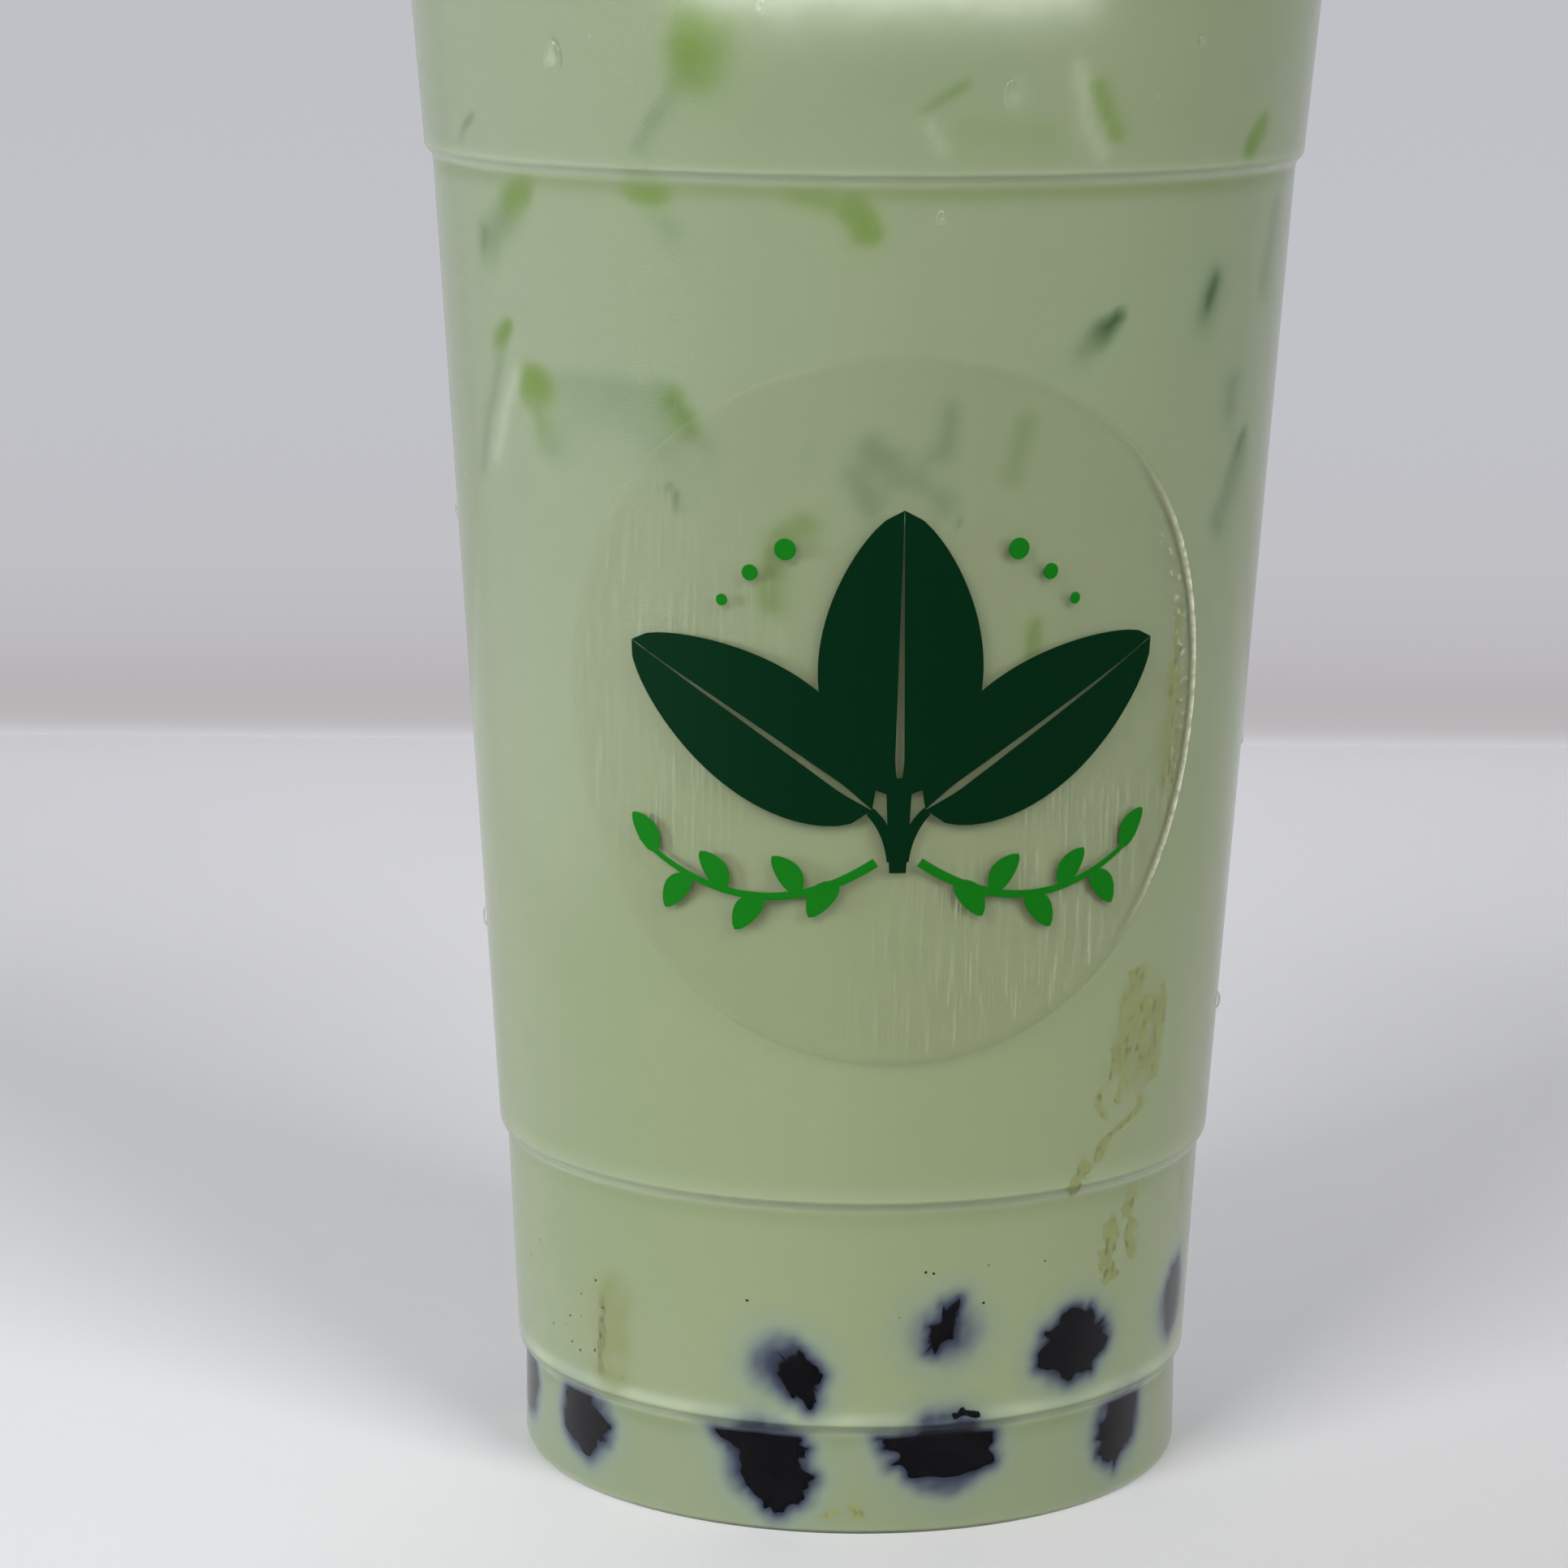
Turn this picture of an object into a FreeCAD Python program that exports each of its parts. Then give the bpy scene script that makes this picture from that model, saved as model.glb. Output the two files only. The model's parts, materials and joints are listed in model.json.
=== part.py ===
"""A honeydew milk tea in its clear take-away cup.

Millimetres.  +Z is up, the cup stands on Z = 0 and its axis is the Z axis.  The front,
where the round label is stuck, faces -Y.

    cup        thin stepped wall turned about the axis: a standing ring with the base
               pushed up inside it, three overhanging stacking ledges and a rolled rim
    milk_tea   the drink, which follows the inside of the wall up to its level
    label      a flat round film, wrapped on the tapered wall between two ledges
"""
import FreeCAD, Part
import Sketcher
import math
import os

# name, value, what it is
SIZES = [
    ("overall_height", 158.0, "from the table to the top of the rolled rim"),
    ("rim_diameter", 95.0, "outside of the rolled rim"),
    ("rim_depth", 3.6, "height of the rolled rim"),
    ("rim_overhang", 3.4, "how far the rim stands out from the wall below it"),
    ("rim_round", 1.8, "round of the rim's crown"),
    ("wall", 0.7, "thickness of the wall"),
    ("floor", 0.9, "thickness of the base"),
    ("band_draft", 4.95, "degrees that the wall leans out between upper ledge and rim"),
    ("band_height", 30.9, "from the upper ledge's lowest point to the top of the rim"),
    ("upper_ledge_step", 0.75, "how far the upper ledge stands out"),
    ("body_draft", 3.77, "degrees that the wall leans out between the two upper ledges"),
    ("lower_ledge_height", 32.1, "lowest point of the lower ledge"),
    ("lower_ledge_step", 0.75, "how far the lower ledge stands out"),
    ("heel_draft", 2.95, "degrees that the wall leans out between foot and lower ledge"),
    ("foot_ledge_height", 10.0, "lowest point of the ledge above the upright foot"),
    ("foot_ledge_step", 0.7, "how far the ledge above the foot stands out"),
    ("ledge_slope", 45.0, "degrees between a ledge's underside and the wall"),
    ("ledge_round", 1.1, "round of a ledge's two corners, outside"),
    ("standing_ring_width", 3.6, "from the foot's outside to the pushed-up base"),
    ("base_lift", 2.6, "how far the base is pushed up"),
    ("base_dish", 0.8, "how much higher the base is at its centre"),
    ("base_round", 1.2, "round between the foot and the standing ring"),
    ("headspace", 10.5, "from the surface of the drink to the top of the rim"),
    ("wetted_gap", 0.05, "clearance between the drink and the wall"),
    ("label_diameter", 65.6, "the round label, laid flat"),
    ("label_drop", 0.6, "centre of the label below the middle of the tapered wall"),
    ("label_film", 0.15, "thickness of the label"),
    ("label_gap", 0.03, "adhesive between the label and the wall"),
]
OUTLINE_POINTS = 36         # points that the label's round outline is laid through
OUTLINE_ARCS = 4            # edges that the outline is split into
LEAST_ROUND = 0.1           # smallest round that an inner corner keeps
ROUND_PER_STEP = 1.5        # largest round that fits twice on a ledge, for each mm of step
CROWN_SHARE = 0.48          # largest round that fits twice on the rim, as a share of its width
SAME_PLACE = 1e-4           # how far a ring may be from its corner to be that corner's
# from the rim down: each ledge, the lean of the wall above it, and its lowest point
LEDGES = [
    ("upper_ledge", "band_draft", "sizes.overall_height - sizes.band_height"),
    ("lower_ledge", "body_draft", "sizes.lower_ledge_height"),
    ("foot_ledge", "heel_draft", "sizes.foot_ledge_height"),
]
MOUTH_RADIUS = "sizes.rim_diameter / 2 - sizes.rim_overhang"
UNDER_RIM = "sizes.overall_height - sizes.rim_depth"

doc = FreeCAD.newDocument("honeydew_milk_tea")


def make_sheet():
    """The driving dimensions, one row each, named by their aliases."""
    sheet = doc.addObject("Spreadsheet::Sheet", "sizes")
    for row, (name, value, meaning) in enumerate(SIZES, start=1):
        sheet.set(f"A{row}", name)
        sheet.set(f"B{row}", str(value))
        sheet.set(f"C{row}", meaning)
        sheet.setAlias(f"B{row}", name)
    doc.recompute()
    return sheet


sheet = make_sheet()


def number(expression):
    """The value that an expression has now."""
    value = sheet.evalExpression(expression)
    return float(getattr(value, "Value", value))


# ---------------------------------------------------------------- the wall's profile

def trace_wall():
    """The outside's corners, worked out from the mouth down: a lean, then a step in."""
    radius, height = MOUTH_RADIUS, UNDER_RIM
    corners = {}
    for ledge, draft, low_height in LEDGES:
        step = f"sizes.{ledge}_step"
        top_height = f"{low_height} + {step} / tan(sizes.ledge_slope * 1 deg)"
        lean = f"tan(sizes.{draft} * 1 deg) * ({height} - ({top_height}))"
        top_radius = f"{radius} - {lean}"
        low_radius = f"{top_radius} - {step}"
        corners[ledge] = [(low_radius, low_height), (top_radius, top_height)]
        radius, height = low_radius, low_height
    return corners


OUTSIDE = trace_wall()
FOOT_RADIUS = OUTSIDE["foot_ledge"][0][0]


def mitre(inset):
    """How far a ledge's corner climbs when the wall is drawn `inset` further in."""
    return f"({inset}) * tan(sizes.ledge_slope * 1 deg / 2)"


def ledge_corners(ledge, inset):
    """The lower and the upper corner of one ledge, `inset` inside the cup's outside."""
    return [(f"{radius} - ({inset})", f"{height} + {mitre(inset)}")
            for radius, height in OUTSIDE[ledge]]


def base_corners(inset, lift):
    """The base from the axis to the foot's outside, `inset` in and `lift` up."""
    ring = f"{FOOT_RADIUS} - sizes.standing_ring_width + {mitre(lift)}"
    push = f"sizes.base_lift + {lift}"
    return [
        ("0", f"{push} + sizes.base_dish"),
        (f"{ring} - sizes.base_lift", push),
        (ring, lift),
        (f"{FOOT_RADIUS} - ({inset})", lift),
    ]


def wall_corners(inset):
    """The three ledges from the foot up."""
    corners = []
    for ledge, _, _ in reversed(LEDGES):
        corners += ledge_corners(ledge, inset)
    return corners


def band_radius(height, inset):
    """The wall's radius at a height between the upper ledge and the rim."""
    lean = f"tan(sizes.band_draft * 1 deg) * ({height} - ({UNDER_RIM}))"
    return f"{MOUTH_RADIUS} + {lean} - ({inset})"


# ---------------------------------------------------------------- drawing and turning

def hold(sketch, kind, corner, expression, name):
    """One distance from the sketch's origin, bound to an expression."""
    value = number(expression)
    index = sketch.addConstraint(Sketcher.Constraint(kind, -1, 1, corner, 1, value))
    sketch.renameConstraint(index, name)
    sketch.setExpression(f"Constraints.{name}", expression)


def draw(body, name, corners):
    """A closed polygon on the body's XZ plane, each corner held at radius and height."""
    sketch = body.newObject("Sketcher::SketchObject", name)
    planes = [part for part in body.Origin.OriginFeatures if part.Role == "XZ_Plane"]
    sketch.AttachmentSupport = (planes[0], [""])
    sketch.MapMode = "FlatFace"
    places = [FreeCAD.Vector(number(radius), number(height), 0) for radius, height in corners]
    for start, end in zip(places, places[1:] + places[:1]):
        sketch.addGeometry(Part.LineSegment(start, end), False)
    count = len(corners)
    for line in range(count):
        sketch.addConstraint(
            Sketcher.Constraint("Coincident", line, 2, (line + 1) % count, 1))
    for line, (radius, height) in enumerate(corners):
        if radius == "0":
            sketch.addConstraint(Sketcher.Constraint("PointOnObject", line, 1, -2))
        else:
            hold(sketch, "DistanceX", line, radius, f"radius_{line}")
        if height == "0":
            sketch.addConstraint(Sketcher.Constraint("PointOnObject", line, 1, -1))
        else:
            hold(sketch, "DistanceY", line, height, f"height_{line}")
    doc.recompute()
    return sketch


def turn(body, kind, name, corners):
    """A profile turned all the way round the axis: a Revolution adds, a Groove cuts."""
    sketch = draw(body, name + "_profile", corners)
    feature = body.newObject("PartDesign::" + kind, name)
    feature.Profile = sketch
    feature.ReferenceAxis = (sketch, ["V_Axis"])
    feature.Angle = 360.0
    sketch.Visibility = False
    doc.recompute()
    return feature


def ring_edges(shape, corners):
    """The names of the round edges that lie at the given radii and heights."""
    names = []
    for index, edge in enumerate(shape.Edges, start=1):
        if not isinstance(edge.Curve, Part.Circle):
            continue
        for radius, height in corners:
            off_radius = abs(edge.Curve.Radius - number(radius))
            off_height = abs(edge.Curve.Center.z - number(height))
            if max(off_radius, off_height) < SAME_PLACE:
                names.append(f"Edge{index}")
    return names


def round_off(body, name, corners, radius):
    """Fillets of one radius on the rings at the given corners."""
    base = body.Tip
    edges = ring_edges(base.Shape, corners)
    if len(edges) != len(corners):
        raise RuntimeError(f"{name}: {len(edges)} rings found for {len(corners)} corners")
    fillet = body.newObject("PartDesign::Fillet", name)
    fillet.Base = (base, edges)
    fillet.Radius = number(radius)
    fillet.setExpression("Radius", radius)
    doc.recompute()
    return fillet


def within(radius, inset):
    """The round of a corner `inset` inside one that bulges outwards."""
    return f"max({radius} - ({inset}); {LEAST_ROUND})"


def round_ledges(body, side, inset):
    """Both corners of each ledge, rounded about the same centres at any inset."""
    for ledge, _, _ in LEDGES:
        lower, upper = ledge_corners(ledge, inset)
        outer = f"min(sizes.ledge_round; {ROUND_PER_STEP} * sizes.{ledge}_step)"
        round_off(body, f"{side}_{ledge}_hollow", [lower], f"{outer} + {inset}")
        round_off(body, f"{side}_{ledge}_nose", [upper], within(outer, inset))


# ---------------------------------------------------------------- the pieces

def make_cup():
    """The outside turned solid, then hollowed, then the rim's roll opened from below."""
    body = doc.addObject("PartDesign::Body", "cup")
    top = "sizes.overall_height"
    rim = "sizes.rim_diameter / 2"

    outside = base_corners("0", "0") + wall_corners("0")
    outside += [(MOUTH_RADIUS, UNDER_RIM), (rim, UNDER_RIM), (rim, top), ("0", top)]
    turn(body, "Revolution", "outside", outside)
    round_off(body, "base_edge", [base_corners("0", "0")[3]], "sizes.base_round")
    round_ledges(body, "outside", "0")

    bore = band_radius(top, "sizes.wall")
    cavity = base_corners("sizes.wall", "sizes.floor") + wall_corners("sizes.wall")
    turn(body, "Groove", "cavity", cavity + [(bore, top), ("0", top)])
    floor_edge = base_corners("sizes.wall", "sizes.floor")[3]
    round_off(body, "floor_edge", [floor_edge], within("sizes.base_round", "sizes.wall"))
    round_ledges(body, "inside", "sizes.wall")

    crown = f"min(sizes.rim_round; {CROWN_SHARE} * ({rim} - ({bore})))"
    round_off(body, "rim_crown", [(bore, top), (rim, top)], crown)
    roof = "sizes.overall_height - sizes.wall"
    inner = band_radius(roof, "0")
    lip = "sizes.rim_diameter / 2 - sizes.wall"
    turn(body, "Groove", "rim_hollow",
         [(MOUTH_RADIUS, UNDER_RIM), (lip, UNDER_RIM), (lip, roof), (inner, roof)])
    round_off(body, "rim_hollow_crown", [(lip, roof), (inner, roof)],
              within(crown, "sizes.wall"))
    return body


def make_milk_tea():
    """The drink: the inside of the wall again, a named gap further in."""
    body = doc.addObject("PartDesign::Body", "milk_tea")
    inset = "sizes.wall + sizes.wetted_gap"
    lift = "sizes.floor + sizes.wetted_gap"
    level = "sizes.overall_height - sizes.headspace"
    filling = base_corners(inset, lift) + wall_corners(inset)
    filling += [(band_radius(level, inset), level), ("0", level)]
    turn(body, "Revolution", "filling", filling)
    floor_edge = base_corners(inset, lift)[3]
    round_off(body, "filling_edge", [floor_edge], within("sizes.base_round", inset))
    round_ledges(body, "filling", inset)
    return body


def label_cone(offset):
    """The tapered wall between the lower and the upper ledge, `offset` further out."""
    low_radius, low_height = ledge_corners("lower_ledge", "0")[1]
    top_radius, top_height = ledge_corners("upper_ledge", "0")[0]
    return Part.Cone(FreeCAD.Vector(0, 0, number(low_height)),
                     FreeCAD.Vector(0, 0, number(top_height)),
                     number(low_radius) + offset, number(top_radius) + offset)


def label_outline(cone):
    """A circle laid on the unrolled cone, as turns about it and lengths along it."""
    slope = cone.SemiAngle
    apex_length = cone.Radius / math.sin(slope)
    low_height = number(ledge_corners("lower_ledge", "0")[1][1])
    top_height = number(ledge_corners("upper_ledge", "0")[0][1])
    centre_height = (low_height + top_height) / 2 - number("sizes.label_drop")
    centre_length = (centre_height - cone.Apex.z) / math.cos(slope)
    radius = number("sizes.label_diameter") / 2
    points = []
    for index in range(OUTLINE_POINTS):
        angle = 2 * math.pi * index / OUTLINE_POINTS
        across = radius * math.cos(angle)
        along = centre_length + radius * math.sin(angle)
        turned = math.atan2(across, along) / math.sin(slope)
        points.append(FreeCAD.Base.Vector2d(turned, math.hypot(across, along) - apex_length))
    outline = Part.Geom2d.BSplineCurve2d()
    outline.interpolate(Points=points, PeriodicFlag=True)
    return outline


def label_face(cone, outline):
    """The outline laid on a cone, with the round of cone inside it."""
    first = outline.FirstParameter
    span = (outline.LastParameter - first) / OUTLINE_ARCS
    edges = [outline.toShape(cone, first + span * arc, first + span * (arc + 1))
             for arc in range(OUTLINE_ARCS)]
    face = Part.Face(cone, Part.Wire(edges))
    face.validate()
    return face


def make_label():
    """Film between two such faces, one the film's thickness outside the other."""
    gap = number("sizes.label_gap")
    film = number("sizes.label_film")
    outline = label_outline(label_cone(0))
    back = label_face(label_cone(gap), outline)
    front = label_face(label_cone(gap + film), outline)
    edge = Part.makeLoft([back.OuterWire, front.OuterWire], False, True)
    shell = Part.Shell([back, front] + edge.Faces)
    shell.sewShape()
    label = doc.addObject("Part::Feature", "label")
    label.Shape = Part.Solid(shell)
    label.Placement = FreeCAD.Placement()
    return label


def write(pieces):
    """Check every object, then write one file for each piece, named by its label."""
    doc.recompute()
    for item in doc.Objects:
        if "Invalid" in item.State or "Error" in item.State:
            raise RuntimeError(f"{item.Name} failed: {item.State}")
    for piece in pieces:
        shape = piece.Shape
        if shape.isNull() or not shape.isValid() or len(shape.Solids) != 1:
            raise RuntimeError(f"{piece.Label} is not one valid solid")
    os.makedirs("parts", exist_ok=True)
    for piece in pieces:
        piece.Shape.exportStep(f"parts/{piece.Label}.step")
        box = piece.Shape.BoundBox
        print(f"{piece.Label}: {piece.Shape.Volume / 1000:.2f} cm3, "
              f"{box.XLength:.2f} x {box.YLength:.2f} x {box.ZLength:.2f} mm")


write([make_cup(), make_milk_tea(), make_label()])
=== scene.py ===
"""Honeydew milk tea in its clear cup: ice, tapioca pearls, a round clear label and drops.

Each piece is an operator.  Lengths are metres, +Z is up, the label faces -Y, and a place on
the wall is given as (degrees from the label's centre towards +X, height in millimetres).
"""
import json
import math
import random

import bmesh
import bpy
import numpy as np
from bpy.props import FloatProperty, FloatVectorProperty, IntProperty, PointerProperty
from mathutils import Euler, Matrix, Vector, noise
from mathutils.bvhtree import BVHTree

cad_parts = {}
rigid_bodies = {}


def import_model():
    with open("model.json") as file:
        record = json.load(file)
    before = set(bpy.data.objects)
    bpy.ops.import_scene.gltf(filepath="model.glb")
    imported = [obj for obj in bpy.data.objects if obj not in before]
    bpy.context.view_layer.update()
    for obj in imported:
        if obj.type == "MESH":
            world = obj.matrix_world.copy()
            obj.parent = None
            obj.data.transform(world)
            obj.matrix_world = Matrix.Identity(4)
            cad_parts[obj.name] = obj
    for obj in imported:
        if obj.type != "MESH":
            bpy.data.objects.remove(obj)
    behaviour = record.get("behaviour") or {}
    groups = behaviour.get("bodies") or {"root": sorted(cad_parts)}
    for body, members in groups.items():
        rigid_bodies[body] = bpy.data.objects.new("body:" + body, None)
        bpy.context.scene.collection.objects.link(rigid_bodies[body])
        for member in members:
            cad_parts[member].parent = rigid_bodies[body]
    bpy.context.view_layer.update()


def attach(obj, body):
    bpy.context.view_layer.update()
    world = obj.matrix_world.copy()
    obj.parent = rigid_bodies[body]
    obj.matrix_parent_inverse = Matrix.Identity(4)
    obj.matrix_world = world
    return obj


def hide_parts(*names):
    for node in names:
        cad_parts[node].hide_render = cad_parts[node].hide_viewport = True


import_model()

bl_info = {
    "name": "Honeydew milk tea",
    "version": (1, 0, 0),
    "blender": (4, 5, 0),
    "location": "View3D > Sidebar > Milk tea",
    "description": "Builds a honeydew milk tea with pearls and ice in its clear cup",
    "category": "Add Mesh",
}

MM = 0.001
BODY = "root"
NO_ROUND = 0.0


# ---------------------------------------------------------------- sizes and colours

def length(name, millimetres, description):
    """A length property whose default is given in millimetres."""
    return FloatProperty(name=name, description=description, default=millimetres * MM,
                         unit="LENGTH", subtype="DISTANCE", precision=5)


def angle(name, degrees, description):
    """An angle property whose default is given in degrees."""
    return FloatProperty(name=name, description=description, subtype="ANGLE",
                         default=math.radians(degrees))


def linear(value):
    """One display value between 0 and 255 as scene-linear light."""
    share = value / 255
    if share <= 0.04045:
        return share / 12.92
    return ((share + 0.055) / 1.055) ** 2.4


def display(red, green, blue):
    """A display colour as scene-linear light."""
    return linear(red), linear(green), linear(blue)


def colour(name, red, green, blue, description):
    """A colour property whose default is given as display values."""
    return FloatVectorProperty(name=name, description=description, subtype="COLOR", size=3,
                               min=0, max=1, default=display(red, green, blue))


class HoneydewCupSizes(bpy.types.PropertyGroup):
    """Sizes of the cup, the same as the construction's own."""
    overall_height: length("Overall height", 158.0, "From the table to the top of the rim")
    rim_diameter: length("Rim diameter", 95.0, "Outside of the rolled rim")
    rim_depth: length("Rim depth", 3.6, "Height of the rolled rim")
    rim_overhang: length("Rim overhang", 3.4, "How far the rim stands out from the wall")
    rim_round: length("Rim round", 1.8, "Round of the rim's crown")
    wall: length("Wall", 0.7, "Thickness of the wall")
    floor: length("Floor", 0.9, "Thickness of the base")
    band_draft: angle("Band draft", 4.95, "Lean of the wall above the upper ledge")
    band_height: length("Band height", 30.9, "From the upper ledge to the top of the rim")
    upper_ledge_step: length("Upper ledge", 0.75, "How far the upper ledge stands out")
    body_draft: angle("Body draft", 3.77, "Lean of the wall between the upper ledges")
    lower_ledge_height: length("Lower ledge height", 32.1, "Lowest point of that ledge")
    lower_ledge_step: length("Lower ledge", 0.75, "How far the lower ledge stands out")
    heel_draft: angle("Heel draft", 2.95, "Lean of the wall above the foot")
    foot_ledge_height: length("Foot ledge height", 10.0, "Lowest point of that ledge")
    foot_ledge_step: length("Foot ledge", 0.7, "How far the foot ledge stands out")
    ledge_round: length("Ledge round", 1.1, "Round of a ledge's corners")
    standing_ring_width: length("Standing ring", 3.6, "Width of the ring it stands on")
    base_lift: length("Base lift", 2.6, "How far the base is pushed up")
    base_dish: length("Base dish", 0.8, "How much higher the base is at its centre")
    base_round: length("Base round", 1.2, "Round between the foot and the ring")
    plastic: colour("Plastic", 246, 248, 245, "Tint of the clear plastic")


class HoneydewDrinkSizes(bpy.types.PropertyGroup):
    """Sizes and colours of the drink and what is in it."""
    headspace: length("Headspace", 10.5, "From the drink's surface to the top of the rim")
    reach: length("Reach", 0.03, "How far the drink reaches into the wall")
    meniscus: length("Meniscus", 0.7, "How far the drink climbs at the wall")
    row_step: length("Row step", 0.7, "Spacing of the drink's rows on the wall")
    segments: IntProperty(name="Segments", description="Facets round the drink",
                          default=336, min=32, max=720)
    milk: colour("Milk tea", 115, 123, 94, "The drink")
    pale_milk: colour("Pale milk tea", 118, 125, 98, "The drink where more milk is")
    cold_milk: colour("Cold milk tea", 111, 119, 95, "The drink where it is full of ice")
    olive: colour("Residue", 100, 104, 58, "Dried residue on the wall")
    seed: IntProperty(name="Seed", description="Starts every random choice", default=7)


class HoneydewLabelSizes(bpy.types.PropertyGroup):
    """Sizes and colours of the round label."""
    diameter: length("Diameter", 65.6, "The label laid flat")
    drop: length("Drop", 0.6, "Its centre below the middle of the tapered wall")
    film: length("Film", 0.15, "Thickness of the film")
    gap: length("Gap", 0.03, "Adhesive between the film and the wall")
    leaf: colour("Leaf", 2, 31, 13, "The large leaves of the print")
    sprig: colour("Sprig", 14, 92, 16, "The small leaves of the print")


class HoneydewStageSizes(bpy.types.PropertyGroup):
    """The table and the wall behind it."""
    wall_distance: length("Wall distance", 376.0, "From the cup's axis to the wall behind")
    floor_size: length("Floor size", 3000.0, "Width of the table")
    wall_height: length("Wall height", 900.0, "Height of the wall behind")
    floor: colour("Table", 244, 244, 247, "The table")
    backdrop: colour("Backdrop", 191, 192, 197, "The wall behind the table")


# ---------------------------------------------------------------- profiles

def ledges(cup):
    """From the rim down: each ledge's lean above it, lowest point and step."""
    upper = cup.overall_height - cup.band_height
    return [
        (cup.band_draft, upper, cup.upper_ledge_step),
        (cup.body_draft, cup.lower_ledge_height, cup.lower_ledge_step),
        (cup.heel_draft, cup.foot_ledge_height, cup.foot_ledge_step),
    ]


def climb(inset):
    """How far a ledge's corner climbs when the wall is drawn `inset` further in."""
    return inset * math.tan(math.pi / 8)


def wall_corners(cup, inset):
    """(radius, height, round) of the ledges' corners from the foot up, `inset` inside."""
    radius = cup.rim_diameter / 2 - cup.rim_overhang
    height = cup.overall_height - cup.rim_depth
    corners = []
    for lean, low, step in ledges(cup):
        top = low + step
        top_radius = radius - math.tan(lean) * (height - top)
        outer = min(cup.ledge_round, 1.5 * step)
        nose = max(outer - inset, 0.1 * MM)
        corners.append((top_radius - inset, top + climb(inset), nose))
        corners.append((top_radius - step - inset, low + climb(inset), outer + inset))
        radius, height = top_radius - step, low
    return corners[::-1]


def foot_radius(cup):
    """Outside radius of the upright foot."""
    return wall_corners(cup, 0)[0][0]


def base_corners(cup, inset, lift):
    """(radius, height, round) of the base from the axis to the foot's outside."""
    foot = foot_radius(cup)
    ring = foot - cup.standing_ring_width + climb(lift)
    push = cup.base_lift + lift
    edge = max(cup.base_round - inset, 0.1 * MM)
    return [
        (0.0, push + cup.base_dish, NO_ROUND),
        (ring - cup.base_lift, push, 1.5 * MM),
        (ring, lift, 0.4 * MM),
        (foot - inset, lift, edge),
    ]


def band_radius(cup, height, inset):
    """The wall's radius at a height between the upper ledge and the rim."""
    mouth = cup.rim_diameter / 2 - cup.rim_overhang
    above = height - (cup.overall_height - cup.rim_depth)
    return mouth + math.tan(cup.band_draft) * above - inset


def rounded(corners, steps=7):
    """The corners' polyline with an arc in each corner that has a round."""
    points = []
    for index, (radius, height, fillet) in enumerate(corners):
        here = np.array((radius, height))
        if fillet == NO_ROUND or index in (0, len(corners) - 1):
            points.append(here)
            continue
        before = np.array(corners[index - 1][:2]) - here
        after = np.array(corners[index + 1][:2]) - here
        before_length, after_length = np.linalg.norm(before), np.linalg.norm(after)
        before, after = before / before_length, after / after_length
        turn = math.pi - math.acos(float(np.clip(before @ after, -1, 1)))
        if turn < 1e-4:
            points.append(here)
            continue
        reach = min(fillet * math.tan(turn / 2), 0.49 * before_length, 0.49 * after_length)
        arc = reach / math.tan(turn / 2)
        inward = before + after
        inward = inward / np.linalg.norm(inward)
        centre = here + inward * arc / math.cos(turn / 2)
        start, end = here + before * reach - centre, here + after * reach - centre
        for step in range(steps + 1):
            share = step / steps
            a = math.sin((1 - share) * turn) / math.sin(turn)
            b = math.sin(share * turn) / math.sin(turn)
            points.append(centre + a * start + b * end)
    return np.array(points)


def resampled(points, longest):
    """The polyline with long runs divided, and a short step beside each corner."""
    made = [points[0]]
    for start, end in zip(points[:-1], points[1:]):
        run = np.linalg.norm(end - start)
        if run < 1e-9:
            continue
        pieces = max(1, math.ceil(run / longest))
        shares = list(np.linspace(0, 1, pieces + 1)[1:])
        lead = 0.25 * MM / run
        if lead < 0.25:
            shares = sorted(set(shares) | {lead, 1 - lead})
        made += [start + (end - start) * share for share in shares]
    return np.array(made)


def wall_line(cup, inset):
    """Heights and radii of the wall, `inset` inside the outside, from the foot up."""
    foot = foot_radius(cup) - inset
    top = cup.overall_height
    corners = [(foot, 0.0, NO_ROUND)] + wall_corners(cup, inset)
    corners.append((band_radius(cup, top, inset), top, NO_ROUND))
    line = rounded(corners)
    return line[:, 1], line[:, 0]


class Wall:
    """The wall at one depth: its radius at any height, and places on it."""

    def __init__(self, cup, inset):
        self.heights, self.radii = wall_line(cup, inset)

    def radius(self, height):
        """Radius at a height, both in metres."""
        return np.interp(height, self.heights, self.radii)

    def place(self, degrees, height, outward=0.0):
        """The point at an angle and height, `outward` beyond the wall, in metres."""
        turned = np.radians(degrees)
        radius = self.radius(height) + outward
        return np.stack([radius * np.sin(turned), -radius * np.cos(turned),
                         height + 0 * radius], axis=-1)


# ---------------------------------------------------------------- meshes

def add_object(name, points, faces, material, smooth=True):
    """A mesh object in the scene's collection, with its material."""
    mesh = bpy.data.meshes.new(name)
    mesh.from_pydata([tuple(point) for point in points], [], faces)
    mesh.update()
    if smooth:
        mesh.shade_smooth()
    mesh.materials.append(material)
    made = bpy.data.objects.new(name, mesh)
    bpy.context.scene.collection.objects.link(made)
    return made


def finish_piece(made, replaced=()):
    """Hangs a piece on the body, and hides the parts of the construction that it replaces."""
    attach(made, BODY)
    for node in replaced:
        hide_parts(node)


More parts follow.
